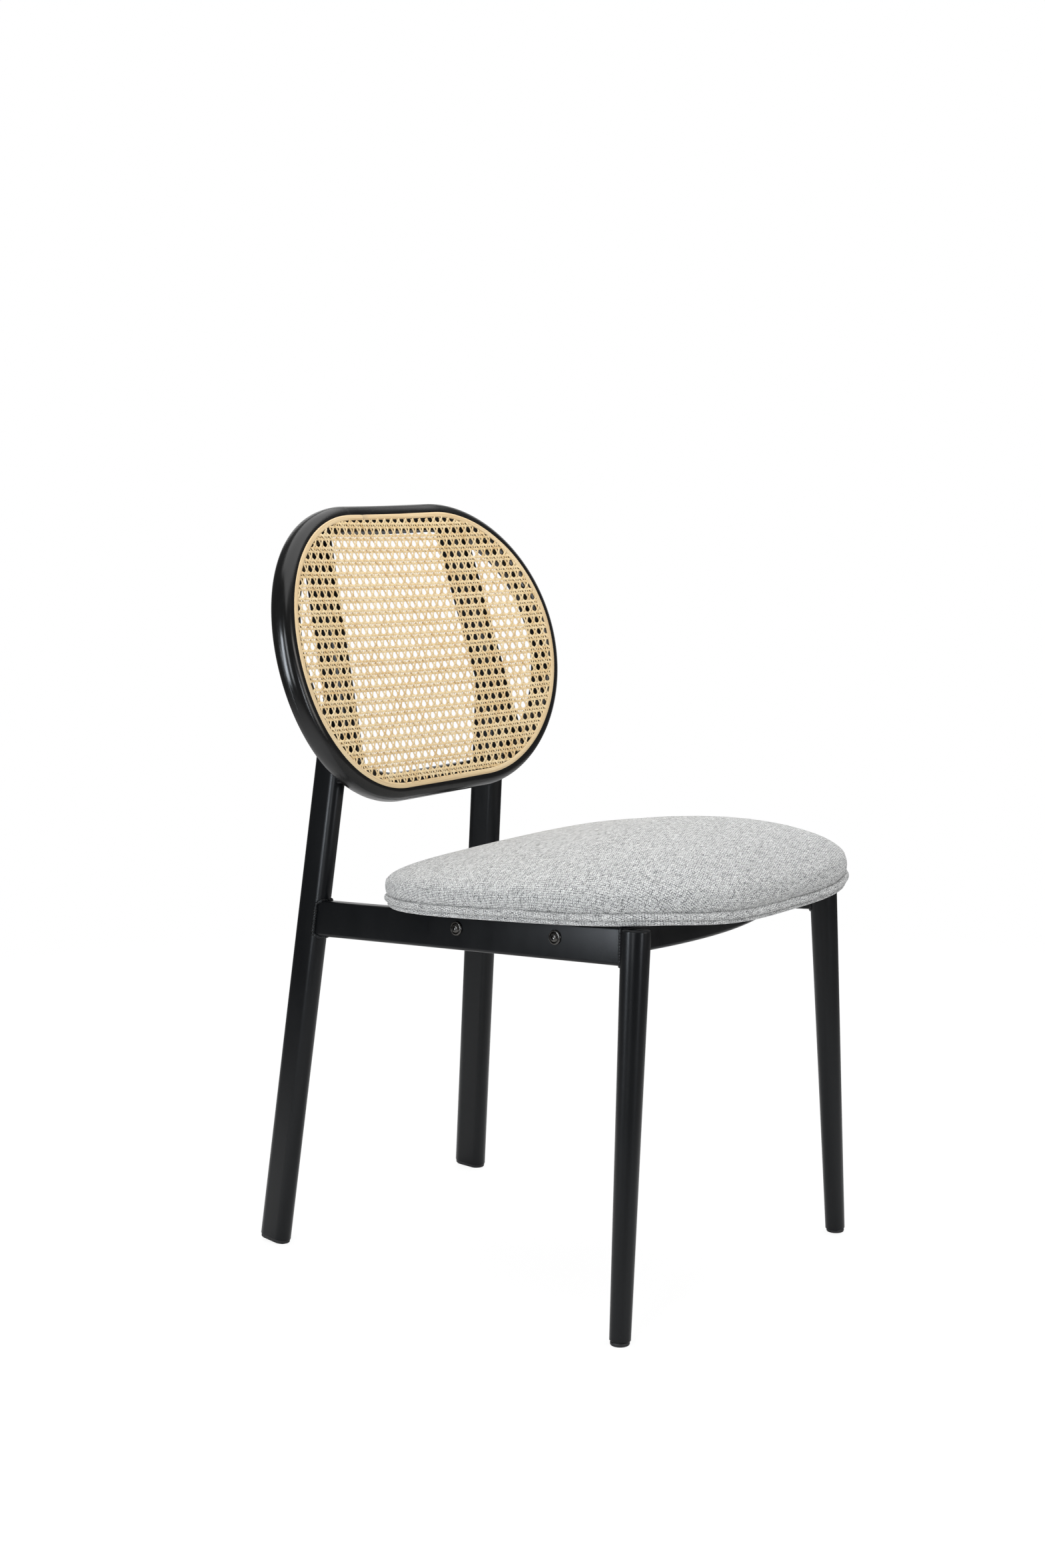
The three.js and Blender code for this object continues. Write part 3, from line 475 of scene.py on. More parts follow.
def seat_fabric():
    """A pale grey melange cloth: flat weft floats in a brick pattern on a darker warp, with dark flecks, and
    painted shade in its low places and in some gaps between the floats.
    """
    g = Graph("cover", roughness=0.92, specular=0.15)
    g.surface("Sheen Weight", 0.18)
    g.surface("Sheen Roughness", 0.5)
    flat = g.attribute("cloth")
    x, y, _ = g.split(flat)
    wander = g.minus(g.noise(flat, 60.0, 3.0), 0.5)
    x = g.plus(g.plus(x, g.times(y, 0.06)), g.times(wander, 0.005))
    y = g.plus(y, g.times(wander, 0.0026))
    warp, weft = g.math("DIVIDE", x, FLOAT_LENGTH), g.math("DIVIDE", y, PICK)
    i, j = g.math("FLOOR", warp), g.math("FLOOR", weft)
    over = g.math("LESS_THAN", g.math("FLOORED_MODULO", g.plus(i, j), 2.0), 0.5)
    across = g.minus(g.math("FRACT", warp), 0.5)
    along = g.minus(g.math("FRACT", weft), 0.5)
    ends = g.span(g.math("ABSOLUTE", across), 0.28, 0.4)
    across, along = g.times(across, across), g.times(along, along)
    float_top = g.minus(g.minus(1.0, g.times(along, 2.6)), g.times(across, 1.5))
    sunk = g.minus(g.minus(0.42, g.times(across, 1.2)), g.times(along, 0.5))
    height = g.add("Mix", {0: over, 2: sunk, 3: float_top}, data_type="FLOAT").outputs[0]
    yarn, gap = g.white(g.joined(i, j, 1.0)), g.white(g.joined(i, j, 5.0))
    fibre = g.streaks(x, y, (420.0, 2300.0), detail=3.0, rough=0.65)
    hair = g.noise(flat, 1900.0, 2.0, 0.7)
    slub = g.streaks(x, y, (130.0, 330.0), 7.0)
    mixed = g.plus(g.times(yarn, 0.36), g.times(fibre, 0.47))
    mixed = g.minus(g.plus(mixed, g.times(slub, 0.6)), 0.2)
    light = g.ramp(mixed, (0.22, (0.40, 0.404, 0.406)), (0.38, (0.71, 0.715, 0.71)),
                   (0.55, (0.86, 0.865, 0.855)), (0.8, (0.95, 0.95, 0.935)))
    dark = g.ramp(mixed, (0.25, (0.14, 0.143, 0.148)), (0.45, (0.53, 0.535, 0.535)),
                  (0.7, (0.84, 0.845, 0.835)))
    tone = g.mix(over, dark, light)
    # Painted shade: the low places of the weave, between the floats, are darkened by their height
    tone = g.mix(g.span(height, 0.25, 0.6, 0.26, 0.0), tone, (0.13, 0.133, 0.14))
    tone = g.stain(tone, (0.88, 0.88, 0.86), hair, 0.55, 0.75, 0.25)
    fleck = g.streaks(x, y, (640.0, 1500.0), 4.0, 1.0)
    tone = g.stain(tone, (0.075, 0.077, 0.082), fleck, 0.57, 0.64, 0.9)
    # Painted shade: near black at the ends of the floats in some random cells, standing in for the shade in
    # the gaps of the weave
    gap_shade = g.times(ends, g.span(g.streaks(x, y, (500.0, 1300.0), 9.0, 1.0), 0.42, 0.5))
    tone = g.mix(g.times(gap_shade, g.span(gap, 0.5, 0.6, 0.0, 1.0)), tone, (0.018, 0.019, 0.022))
    broad = g.noise(g.places(), 24.0, 3.0, 0.55)
    tone = g.stain(tone, (0.42, 0.425, 0.425), broad, 0.35, 0.7, 0.09)
    g.surface("Base Color", tone)
    rise = g.plus(height, g.times(hair, 0.4))
    g.bump(rise, 0.0009, 0.8)
    return g


def grained(name, tone, gloss, grain, metallic=0.0):
    """A plain material: two tones, two roughnesses and a fine relief, each over a noise of its own scale."""
    g = Graph(name, metallic=metallic, specular=0.5 if metallic else 0.4)
    at = g.places()
    scale, detail, dark, pale = tone
    g.surface("Base Color", g.mix(g.noise(at, scale, detail), dark, pale))
    scale, smooth, rough = gloss
    g.surface("Roughness", g.span(g.noise(at, scale, 3.0), 0.3, 0.7, smooth, rough))
    if grain:
        scale, depth, strength = grain
        g.bump(g.noise(at, scale, 2.0), depth, strength)
    return g


def ply():
    """Birch plywood and pale batten wood: long grain, rays and a slightly fuzzy sawn surface."""
    g = Graph("plywood", roughness=0.68, specular=0.3)
    at = g.places()
    rings = g.noise(g.scaled(at, (26.0, 3.0, 60.0)), 1.0, 5.0, 0.6)
    tone = g.ramp(rings, (0.25, (0.42, 0.27, 0.14)), (0.5, (0.60, 0.42, 0.24)), (0.75, (0.70, 0.53, 0.33)))
    ray = g.noise(g.scaled(at, (900.0, 40.0, 900.0)), 1.0, 2.0)
    tone = g.stain(tone, (0.34, 0.20, 0.10), ray, 0.6, 0.75, 0.4)
    g.surface("Base Color", tone)
    g.bump(ray, 0.0002, 0.4)
    return g


def foam_mat():
    g = Graph("foam", roughness=0.95, specular=0.1)
    at = g.places()
    cell = g.add("TexVoronoi", {"Vector": at, "Scale": 1500.0}).outputs["Distance"]
    g.surface("Base Color", g.mix(g.span(cell, 0.1, 0.6), (0.42, 0.36, 0.20), (0.78, 0.70, 0.46)))
    g.bump(cell, 0.0004, 0.6)
    return g


def felt():
    """Thin black non-woven dust cloth with a pressed dot pattern."""
    g = Graph("dust_cloth", roughness=0.9, specular=0.15)
    at = g.places()
    grid = {"Vector": g.scaled(at, (1.0, 1.0, 0.0)), "Scale": 620.0, "Randomness": 0.15}
    dot = g.span(g.add("TexVoronoi", grid).outputs["Distance"], 0.2, 0.42)
    lint = g.noise(at, 900.0, 4.0, 0.7)
    tone = g.mix(lint, (0.010, 0.010, 0.011), (0.036, 0.036, 0.038))
    g.surface("Base Color", g.mix(g.times(dot, 0.4), (0.008, 0.008, 0.009), tone))
    g.bump(g.plus(dot, lint), 0.0003, 0.5)
    return g


FRAME_BLACK = frame_paint()
RIM_BLACK = ring_paint()
CANE = cane_peel()
BEAD = bead_reed()
COVER = seat_fabric()
NICKEL = grained("dark_nickel", (240.0, 3.0, (0.060, 0.057, 0.054), (0.125, 0.12, 0.113)), (900.0, 0.16, 0.3),
                 (2500.0, 0.00003, 0.4), 1.0)
ZINC = grained("zinc", (180.0, 4.0, (0.42, 0.40, 0.36), (0.62, 0.61, 0.58)), (600.0, 0.28, 0.5), None, 1.0)
PLASTIC = grained("black_plastic", (60.0, 3.0, (0.0085, 0.0085, 0.009), (0.018, 0.018, 0.019)),
                  (500.0, 0.42, 0.6), (2200.0, 0.00006, 0.5))
PLY = ply()
FOAM = foam_mat()
DUST = felt()

# Looks of the CAD nodes that are carried over; the rest are painted steel
LOOKS = {
    "seat_board": PLY, "seat_batten": PLY, "insert_nut": ZINC, "batten_screw": ZINC, "back_screw": ZINC,
    "seat_foam": FOAM, "dust_cover": DUST, "seat_cover": COVER, "cane": CANE, "back_frame": RIM_BLACK,
}
for node_name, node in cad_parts.items():
    chosen = next((look for key, look in LOOKS.items() if node_name.startswith(key)), FRAME_BLACK)
    for material_slot in node.material_slots:
        material_slot.link = "OBJECT"
        material_slot.material = chosen.material


# The steel frame

WELD_STEP = 0.9 * MM
WELD_SIDES = 8
WELD_OUT = 4 * MM
# About where the side rail meets the rear leg, and the bowed rail the side rails, along y
LEG_IN = 0.06
BOW_WELD = 0.035
BOW_END = 0.04


def oval(grow):
    return obround(*OVAL, grow, 24)


def tube(name, node, matrix, section, ends, edge):
    """A closed steel tube whose two end rims are rounded."""
    low, high = ends
    turns = [t * pi / 2 for t in (0.0, 0.3, 0.7, 1.0)]
    turn = [(edge * (1 - cos(t)), edge * (1 - sin(t))) for t in turns]
    stations = [(low + lift, -inset) for lift, inset in turn]
    stations += [(high - lift, -inset) for lift, inset in reversed(turn)]
    rings = [place(matrix, section(grow), z) for z, grow in stations]
    Shell().sweep(rings).piece(name, FRAME_BLACK, node)


def turned(ring, last):
    """The ring, renumbered so that its points lie nearest the last ring's."""
    choices = [ring[k:] + ring[:k] for k in range(len(ring))]
    return min(choices, key=lambda choice: sum((p - q).length for p, q in zip(choice, last)))


def dense(points):
    """Extra points along a closed path, about a weld's step apart."""
    out = []
    for a, b in zip(points, points[1:] + points[:1]):
        pieces = max(1, round((b - a).length / WELD_STEP))
        out += [a.lerp(b, k / pieces) for k in range(pieces)]
    return out


def weld(shell, path, radius, seed, ripple, pitch=2.6 * MM):
    """A weld bead along a closed path: a round bead with uneven ripples."""
    path, rings, length = dense(path), [], 0.0
    for i, point in enumerate(path):
        ahead = path[(i + 1) % len(path)]
        tangent = (ahead - path[i - 1]).normalized()
        side = tangent.orthogonal().normalized()
        up = tangent.cross(side)
        wave = sin(TAU * length / pitch) * 0.5
        swell = radius * (1 + ripple * wave + ripple * noise.noise(point * 160 + Vector((seed, 0, 0))))
        rings.append([point + swell * (c * side + s * up) for c, s in circle(WELD_SIDES)])
        length += (ahead - point).length
    aligned = rings[:1]
    for ring in rings[1:] + rings[:1]:
        aligned.append(turned(ring, aligned[-1]))
    shell.sweep(aligned)


def oval_face(x, z):
    """How far along y the rear leg's front is, at a distance across and a height."""
    reach = (OVAL[1] - OVAL[0]) / 2 + sqrt(max((OVAL[0] / 2) ** 2 - x * x, 0))
    return rear_axis(z) - reach / cos(REAR_RAKE)


def leg_radius(z):
    return (LEG_FOOT_D + (LEG_TOP_D - LEG_FOOT_D) * z / LEG_TOP) / 2


def rail_section(grow, steps=6):
    return rounded(*RAIL, RAIL_CORNER, grow, steps)


def rail_welds(shell, matrix, seed):
    """Beads where the side rail meets the rear leg and the front leg."""
    rear, front = [], []
    for x, h in rail_section(0.4 * MM, 4):
        z = rail_axis(SPAN / 2 - LEG_IN) - h
        y = oval_face(x, z)
        rear.append(Vector((x, y, rail_axis(y) - h)))
        z = rail_axis(-SPAN / 2) - h
        y = front_axis(z) + sqrt(max(leg_radius(z) ** 2 - x * x, 0))
        front.append(Vector((x, y, rail_axis(y) - h)))
    weld(shell, [matrix @ p for p in rear], 2.5 * MM, seed, 0.34, 3.4 * MM)
    weld(shell, [matrix @ p for p in front], 2.0 * MM, seed + 7, 0.2, 3 * MM)


LEG_ROLL = 0.8 * MM
LEG_SHOULDER = 2.6 * MM
LEG_FOOT_Z = 4.3 * MM


def front_leg_profile():
    """The tapered leg with a rolled lower rim and a closed top with a rounded shoulder."""
    foot = leg_radius(LEG_FOOT_Z)
    profile = [(0.0, LEG_FOOT_Z), (foot - LEG_ROLL, LEG_FOOT_Z), (foot, LEG_FOOT_Z + LEG_ROLL)]
    profile += [(leg_radius(z), z) for z in np.linspace(0.03, LEG_TOP - LEG_SHOULDER, 12)]
    for k in range(1, 7):
        angle = k / 6 * pi / 2
        reach = leg_radius(LEG_TOP) - LEG_SHOULDER * (1 - cos(angle))
        profile.append((reach, LEG_TOP - LEG_SHOULDER * (1 - sin(angle))))
    return profile + [(0.0, LEG_TOP + 0.1 * MM)]


def kink_path():
    """Where the joint between the rear leg and the upright shows, a little below the kink."""
    path = []
    for x, y in obround(*OVAL, 0.1 * MM, 20):
        drop = 0.04 * (OVAL[1] / 2 - y) if y > 0 else 0.9 * MM - 0.05 * y
        z = KINK - 1.6 * MM - drop
        path.append(Vector((x, rear_axis(z) + y / cos(REAR_RAKE), z)))
    return path


def side_frames():
    """Each side's leg, upright, front leg and rail, with the welds between them."""
    front_end, rear_end = (axis(RAIL_Z) / cos(SEAT_TILT) for axis in (front_axis, rear_axis))
    rail_ends = (front_end + WELD_OUT, rear_end - WELD_OUT)
    leg_ends = (5.6 * MM, REAR_LEG_TOP)
    for hand, side, m in HANDS:
        tube(f"rear_leg_tube_{hand}", f"rear_leg_{hand}", m @ REAR_LEG, oval, leg_ends, 0.8 * MM)
        tube(f"upright_tube_{hand}", f"back_upright_{hand}", m @ UPRIGHT, oval, UPRIGHT_SPAN, 1.6 * MM)
        front = Shell().lathe(front_leg_profile(), m @ FRONT_LEG, 72)
        front.piece(f"front_leg_tube_{hand}", FRAME_BLACK, f"front_leg_{hand}", f"front_leg_cap_{hand}")
        tube(f"side_rail_tube_{hand}", f"side_rail_{hand}", m @ SIDE_RAIL, rail_section, rail_ends, 0.5 * MM)
        beads = Shell()
        rail_welds(beads, m, 3.1 * side)
        weld(beads, [m @ p for p in kink_path()], 0.9 * MM, 11 * side, 0.15)
        beads.piece(f"frame_welds_{hand}", FRAME_BLACK, sharp=60)


def inner_face_x(y_seat, z_seat):
    """How far out the side rail's inner face is, in the seat's frame."""
    to_seat = SEAT.inverted() @ side_matrix(1)
    y = y_seat - SIDE_Y
    for _ in range(4):
        p = to_seat @ Vector((-RAIL[0] / 2, y, rail_axis(y) + z_seat))
        y += y_seat - p.y
    return p.x


def cross_rails():
    """The bowed front rail and the straight rear rail, each with its welds to the side rails."""
    reach = inner_face_x(BOW_END - FRONT_RAIL_BACK, 0) + WELD_OUT
    sweep = asin(reach / FRONT_RAIL_R)
    centre, low = FRONT_RAIL_R - FRONT_RAIL_BACK, -RAIL[1] / 2 - SEAT_GAP
    rings = []
    for i in range(49):
        angle = sweep * (i / 24 - 1)
        c, s = cos(angle), sin(angle)
        ring = []
        for x, h in rail_section(0):
            r = FRONT_RAIL_R + x
            ring.append(SEAT @ Vector((r * s, centre - r * c, low + h)))
        rings.append(ring)
    Shell().sweep(rings).piece("front_rail_tube", FRAME_BLACK, "front_rail")
    beads = Shell()
    for side in (1, -1):
        path = []
        for x, h in rail_section(0.3 * MM, 4):
            across = inner_face_x(BOW_WELD - FRONT_RAIL_BACK, 0)
            for _ in range(5):
                y = centre - sqrt((FRONT_RAIL_R + x) ** 2 - across * across)
                across = inner_face_x(y, h)
            path.append(SEAT @ Vector((side * across, y, low + h)))
        weld(beads, path, 1.9 * MM, 5 * side, 0.18)
    low = -REAR_RAIL_H / 2 - SEAT_GAP
    half = inner_face_x(REAR_RAIL_Y, 0) + WELD_OUT
    tube("rear_rail_tube", "rear_rail", SEAT @ shift(0, REAR_RAIL_Y, low) @ ry(pi / 2),
         lambda grow: rounded(REAR_RAIL_H, RAIL[0], RAIL_CORNER, grow, 6), (-half, half), 0.5 * MM)
    for side in (1, -1):
        path = []
        for h, y in rounded(REAR_RAIL_H, RAIL[0], RAIL_CORNER, 0.3 * MM, 4):
            across = inner_face_x(REAR_RAIL_Y + y, h)
            path.append(SEAT @ Vector((side * across, REAR_RAIL_Y + y, -REAR_RAIL_H / 2 - h)))
        weld(beads, path, 1.7 * MM, 23 * side, 0.18)
    beads.piece("rail_welds", FRAME_BLACK, sharp=60)


# Feet, bolts and washers: outlines in millimetres as (growth or radius, height)

PLUG = ((-2.2, 1.6), (-1.5, 1.75), (-0.95, 2.3), (-0.75, 3.2), (-0.75, 5.5), (-1.9, 6.1), (-1.9, 12))
GLIDE = ((0, 0.0), (4.6, 0.0), (5.5, 0.25), (5.9, 0.8), (6.0, 1.4), (6.0, 3.5), (0, 3.5))
FOOT_CAP = ((0, 0.0), (8.3, 0.0), (9.5, 0.3), (10.1, 1.0), (10.2, 1.8), (10.2, 3.4), (9.9, 4.0), (9.2, 4.2),
            (9.2, 9), (0, 9))
WASHER = ((3.3, 0.05), (7.7, 0.05), (8.0, 0.3), (8.0, 1.0), (7.75, 1.75), (7.3, 2.35), (6.75, 2.7),
          (6.3, 2.75), (5.95, 2.5), (5.75, 2.0), (5.65, 1.2), (3.3, 1.1), (3.3, 0.05))
SHANK = ((0.2, -36.0), (2.7, -36.0), (3.0, -35.6), (3.0, 1.25), (5.2, 1.25), (5.3, 1.4), (5.3, 1.9))
HEAD_INWARD = 2.9
HEAD_RISE = 2.5
SOCKET = ((4.25, 4.38), (4.0, 4.15), (4.0, 2.3), (2.2, 1.9), (0.3, 1.8))
BOLT_STEPS = 48


def level(matrix, rake, side):
    """A leg's matrix turned back upright, for what stands flat on the floor."""
    return matrix @ rx(rake) @ ry(side * LEAN_IN)


def feet():
    for hand, side, m in HANDS:
        rings = []
        for grow, z in in_metres(PLUG):
            ring = place(m @ REAR_LEG, obround(*OVAL, grow, 20), z)
            rings.append([Vector((p.x, p.y, max(p.z, 0.25 * MM + 0.02 * z))) for p in ring])
        rear = Shell().sweep(rings).lathe(in_metres(GLIDE), level(m @ REAR_LEG, -REAR_RAKE, side), 40)
        rear.piece(f"rear_foot_plug_{hand}", PLASTIC, f"rear_foot_{hand}")
        front = Shell().lathe(in_metres(FOOT_CAP), level(m @ FRONT_LEG, FRONT_RAKE, side), 48)
        front.piece(f"front_foot_cap_{hand}", PLASTIC, f"front_foot_{hand}")


def node_centre(name):
    """Centre of a CAD node's box, in metres."""
    low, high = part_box(name)
    return (Vector(low) + Vector(high)) / 2


def bolt_rings(turn):
    """The bolt's outside, then its hexagon socket, as rings of one closed surface, in metres."""
    outside = list(SHANK)
    for k in range(1, 9):
        t = k / 8
        outside.append((SHANK[-1][0] - HEAD_INWARD * t, SHANK[-1][1] + HEAD_RISE * sin(t * pi / 2)))
    rings = []
    for size, z in outside + list(SOCKET):
        ring = []
        for k in range(BOLT_STEPS):
            angle, r = TAU * k / BOLT_STEPS, size
            if len(rings) >= len(outside):
                r = size / 2 / cos((angle - turn) % (TAU / 6) - TAU / 12)
            ring.append(Vector((r * MM * cos(angle), r * MM * sin(angle), z * MM)))
        rings.append(ring)
    return rings


def bolts():
    for hand, side, m in HANDS:
        for end in ("front", "rear"):
            label = f"{end}_{hand}"
            local = m.inverted() @ node_centre(f"cup_washer_{label}")
            seat = m @ shift(side * RAIL[0] / 2, local.y, local.z) @ ry(side * pi / 2)
            cup = Shell().lathe(in_metres(WASHER), seat, 64)
            cup.piece(f"washer_cup_{label}", NICKEL, f"cup_washer_{label}", sharp=35)
            bolt = Shell().sweep([[seat @ p for p in ring] for ring in bolt_rings(rng.uniform(0, pi / 3))])
            bolt.piece(f"bolt_{label}", NICKEL, f"seat_bolt_{label}", sharp=30)


# The back: rim, reed bead and woven cane

def bent(s, v, proud):
    angle, radius = s / BEND_R, BEND_R - proud
    return BACK @ Vector((radius * sin(angle), radius * cos(angle) - BEND_R, v))


def off_centre(s, v):
    """How far a point of the panel is from the line between the centres of its two round ends."""
    return hypot(max(abs(s) - STRAIGHT / 2, 0), v)


def belly(s, v):
    return BELLY * max(1 - (off_centre(s, v) / CANE_R) ** 2, 0)


def obround_path(arc_steps, straight_steps):
    """Stations (centre s, outward s, outward v) round the obround, starting on the upper straight side."""
    half, path = STRAIGHT / 2, []
    for end in (1, -1):
        path += [(end * half * (2 * k / straight_steps - 1), 0.0, end) for k in range(straight_steps)]
        angles = (end * pi / 2 - pi * k / arc_steps for k in range(arc_steps))
        path += [(end * half, cos(a), sin(a)) for a in angles]
    return path


def on_ring(station, reach, proud):
    s, outward_s, outward_v = station
    return bent(s + outward_s * reach, outward_v * reach, proud)


def rim():
    power = 2 / RING_POWER
    section = [(signed_power(c, power) * RING_W / 2, (signed_power(s, power) - 1) * RING_D / 2)
               for c, s in circle(40)]
    rings = [[on_ring(station, RING_R + out, proud) for out, proud in section]
             for station in obround_path(110, 16)]
    Shell().sweep(rings, closed=True).piece("rim", RIM_BLACK, "back_frame", sharp=70)


# The bead's section, as shares of its half width and heights in millimetres
BEAD_SECTION = ((1, -0.9), (1, -0.3), (0.9, 0.1), (0.6, 0.5), (0.2, 0.8), (-0.3, 0.95), (-0.68, 0.9),
                (-0.92, 0.6), (-1, 0.2), (-1, -0.8), (-1, -2.4), (1, -2.4))
BEAD_JOINT = -0.0569
JOINT_DROP = 0.3 * MM
JOINT_GAP = 0.12 * MM


def bead():
    """The reed is one length: it starts and ends at a butt joint on the upper left."""
    section = [(share * BEAD_W / 2, rise * MM) for share, rise in BEAD_SECTION]
    path = obround_path(110, 30)
    start = min(range(len(path)), key=lambda i: hypot(path[i][0] - BEAD_JOINT, path[i][2] - 1))
    path = path[start:] + path[:start + 1]
    rings = []
    for i, station in enumerate(path):
        reach = RING_R + BEAD_OUT + 0.25 * MM * uneven(i * 0.11, 3.0, 0)
        slim = 1 + 0.05 * uneven(i * 0.07, 9.0, 0)
        drop = JOINT_DROP if i in (0, len(path) - 1) else 0.0
        rings.append([on_ring(station, reach + o * slim, p * slim - drop) for o, p in section])
    gap = (rings[0][0] - rings[1][0]).normalized() * JOINT_GAP
    rings[0] = [p - gap for p in rings[0]]
    Shell().sweep(rings).piece("reed_bead", BEAD, "cane_bead", sharp=50)


# The weave: its pitch and half the gap within a pair of strands, along s and along v
PITCH = (0.0127, 0.0145)
PAIR = (0.00465, 0.00505)
WEAVE_TURN = radians(-1.241)
WEAVE_SHEAR = 0.019
WEAVE_START = (0.756, -0.4391)
CUT_R = 0.1532
CANE_THICK = 0.45 * MM
CANE_LIFT = 0.4 * MM
WAVE = 0.26 * MM
DIAGONAL_LIFT = 0.74 * MM
STRAND_SECTION = ((-0.5, 0.25), (-0.3, 0.85), (0.0, 1.0), (0.3, 0.85), (0.5, 0.25))
STRAND_REACH = 0.42


def to_panel(a, b):
    """From the weave's own axes, with a hole's centre at (0, 0), to the flat panel."""
    s0, v0 = a + WEAVE_START[0] * PITCH[0], b - WEAVE_START[1] * PITCH[1]
    c, s = cos(WEAVE_TURN), sin(WEAVE_TURN)
    return s0 * c - v0 * s + WEAVE_SHEAR * v0, s0 * s + v0 * c


def weave_phase(x, pitch, half):
    """Grows by pi from each crossing strand to the next, where these stand in pairs."""
    turn = floor((x + half) / pitch)
    rest = x - turn * pitch
    if rest < half:
        return TAU * turn + pi * (rest + half) / (2 * half)
    return TAU * turn + pi * (1 + (rest - half) / (pitch - 2 * half))


def strand(shell, origin, direction, width, height, seed, step):
    """One split-cane strand along a line of the weave, flat below and rounded above."""
    across = (-direction[1], direction[0])
    tone = rng.random()
    offset = rng.uniform(-0.16, 0.16) * MM
    start = rng.random() * 9
    width *= rng.uniform(0.93, 1.07)
    rings = []
    for k in range(int(2 * STRAND_REACH / step)):
        t = -STRAND_REACH + k * step
        sway = offset + 0.2 * MM * uneven(t * 16, seed * 3.7, 1.3)
        a = origin[0] + direction[0] * t + across[0] * sway
        b = origin[1] + direction[1] * t + across[1] * sway
        s, v = to_panel(a, b)
        if off_centre(s, v) >= CUT_R:
            if rings:
                break
            continue
        base = belly(s, v) + CANE_LIFT + height(a, b) - CANE_THICK / 2
        slim = width * (1 + 0.05 * uneven(t * 30, seed * 1.9, 4.1))
        ring = []
        for o, h in STRAND_SECTION:
            ps, pv = to_panel(a + across[0] * o * slim, b + across[1] * o * slim)
            ring.append(bent(ps, pv, base + h * CANE_THICK))
        rings.append(ring)
    if len(rings) > 2:
        shell.sweep(rings, tone=tone, start=start)


def cane_panel():
    """Pairs of strands across and up, woven over and under each other, and single ones on both diagonals."""
    shells = {name: Shell() for name in ("across", "upright", "rising", "falling")}
    pairs = ((0, "across", 12, 2.5 * MM, 100), (1, "upright", 19, 2.15 * MM, 300))
    for along, name, last, width, seed in pairs:
        over, sign = 1 - along, 1 - 2 * along
        for row in range(-last, last + 1):
            for which, end in enumerate((-1, 1)):
                origin, direction = [0, 0], [0, 0]
                origin[over] = row * PITCH[over] + end * PAIR[over]
                direction[along] = 1
                parity = 2 * row + which
                strand(shells[name], origin, direction, width,
                       lambda *at: sign * WAVE * cos(
                           weave_phase(at[along], PITCH[along], PAIR[along]) + pi * parity),
                       seed + parity, PITCH[along] / 5)
    span = hypot(*PITCH)
    for k in range(-31, 32):
        for name, sign in (("rising", -1), ("falling", 1)):
            slope = (PITCH[0] / span, -sign * PITCH[1] / span)
            strand(shells[name], ((k + 0.5) * PITCH[0], 0), slope, 2.45 * MM,
                   lambda a, _: DIAGONAL_LIFT * signed_power(cos(TAU * a / PITCH[0]) * sign, 0.6),
                   700 + 2 * k + sign, span / 7)
    for name, shell in shells.items():
        shell.piece(f"cane_{name}", CANE, "cane_panel", sharp=75)


# The seat pad

def plan_reach(y):
    """How far the outline reaches to the front or the rear of where it is widest."""
    return SEAT_FRONT + WIDEST_Y if y < 0 else SEAT_REAR - WIDEST_Y


def plan_point(angle, inset):
    """A point of the seat's outline, set in from its edge."""
    c, s, power = cos(angle), sin(angle), 2 / PLAN_POWER
    y = signed_power(s, power) * (plan_reach(s) - inset)
    return signed_power(c, power) * (SEAT_HALF - inset), WIDEST_Y + y


def waterfall(y):
    """How far the seat's front edge has dropped."""
    past = max(-y - FALL_START, 0) / (SEAT_FRONT - FALL_START)
    return FALL_DROP * past * past


def even_plan(count, inset):
    """Plan points an even distance apart."""
    fine = [plan_point(TAU * k / 2000, inset) for k in range(2000)]
    lengths = [0.0]
    for a, b in zip(fine, fine[1:] + fine[:1]):
        lengths.append(lengths[-1] + dist(a, b))
    total = lengths[-1]
    at = np.arange(count) * total / count
    return list(zip(*(np.interp(at, lengths, values) for values in zip(*fine, fine[0])))), total


def crown(share, y, lower=0.0):
    """The top above the border: a full shoulder that turns into a gentle dome."""
    shoulder = (SHOULDER - lower) * (1 - SHOULDER_FALL * y)
    dome = DOME * (1 - DOME_FALL * y)
    return shoulder * (1 - share ** SHOULDER_POWER) ** (1 / SHOULDER_POWER) + dome * (1 - share ** DOME_POWER)


PAD_SHARES = (0.992, 0.975, 0.95, 0.92, 0.88, 0.83, 0.77, 0.70, 0.62, 0.53, 0.43, 0.32, 0.2, 0.08)


def pad_profile(shrink, lower):
    """Rings of the pad, as (inset, share, height function), from under the seam to the crown."""
    edge = (
        (9 * MM, 0.5, 10.5 * MM), (9 * MM, 0.9, 10.5 * MM), (8 * MM, 1, 10.8 * MM),
        (6 * MM, 1, 11.8 * MM), (4.4 * MM, 1, SEAM_Z), (2.4 * MM, 1, 15.6 * MM),
        (0.9 * MM + shrink / 2, 1, 18 * MM), (0.2 * MM + shrink, 1, 20.5 * MM), (shrink, 1, BORDER))
    rows = [(inset, share, lambda y, z=z: z) for inset, share, z in edge]
    for share in PAD_SHARES:
        rows.append((shrink, share, lambda y, share=share: BORDER + crown(share, y, lower)))
    return rows


def toward_middle(points, share):
    return [(x * share, WIDEST_Y + (y - WIDEST_Y) * share) for x, y in points]


def pad_rings(shrink, lower, count):
    rings = []
    for inset, share, height in pad_profile(shrink, lower):
        plan = toward_middle(even_plan(count, inset)[0], share)
        rings.append([Vector((x, y, height(y) - waterfall(y))) for x, y in plan])
    return rings


def mesh_of(obj):
    """A plain copy of an object's mesh with its modifiers applied."""
    graph = bpy.context.evaluated_depsgraph_get()
    return bpy.data.meshes.new_from_object(obj.evaluated_get(graph))


def coordinates(mesh):
    flat = np.empty(len(mesh.vertices) * 3)
    mesh.vertices.foreach_get("co", flat)
    return flat.reshape(-1, 3)


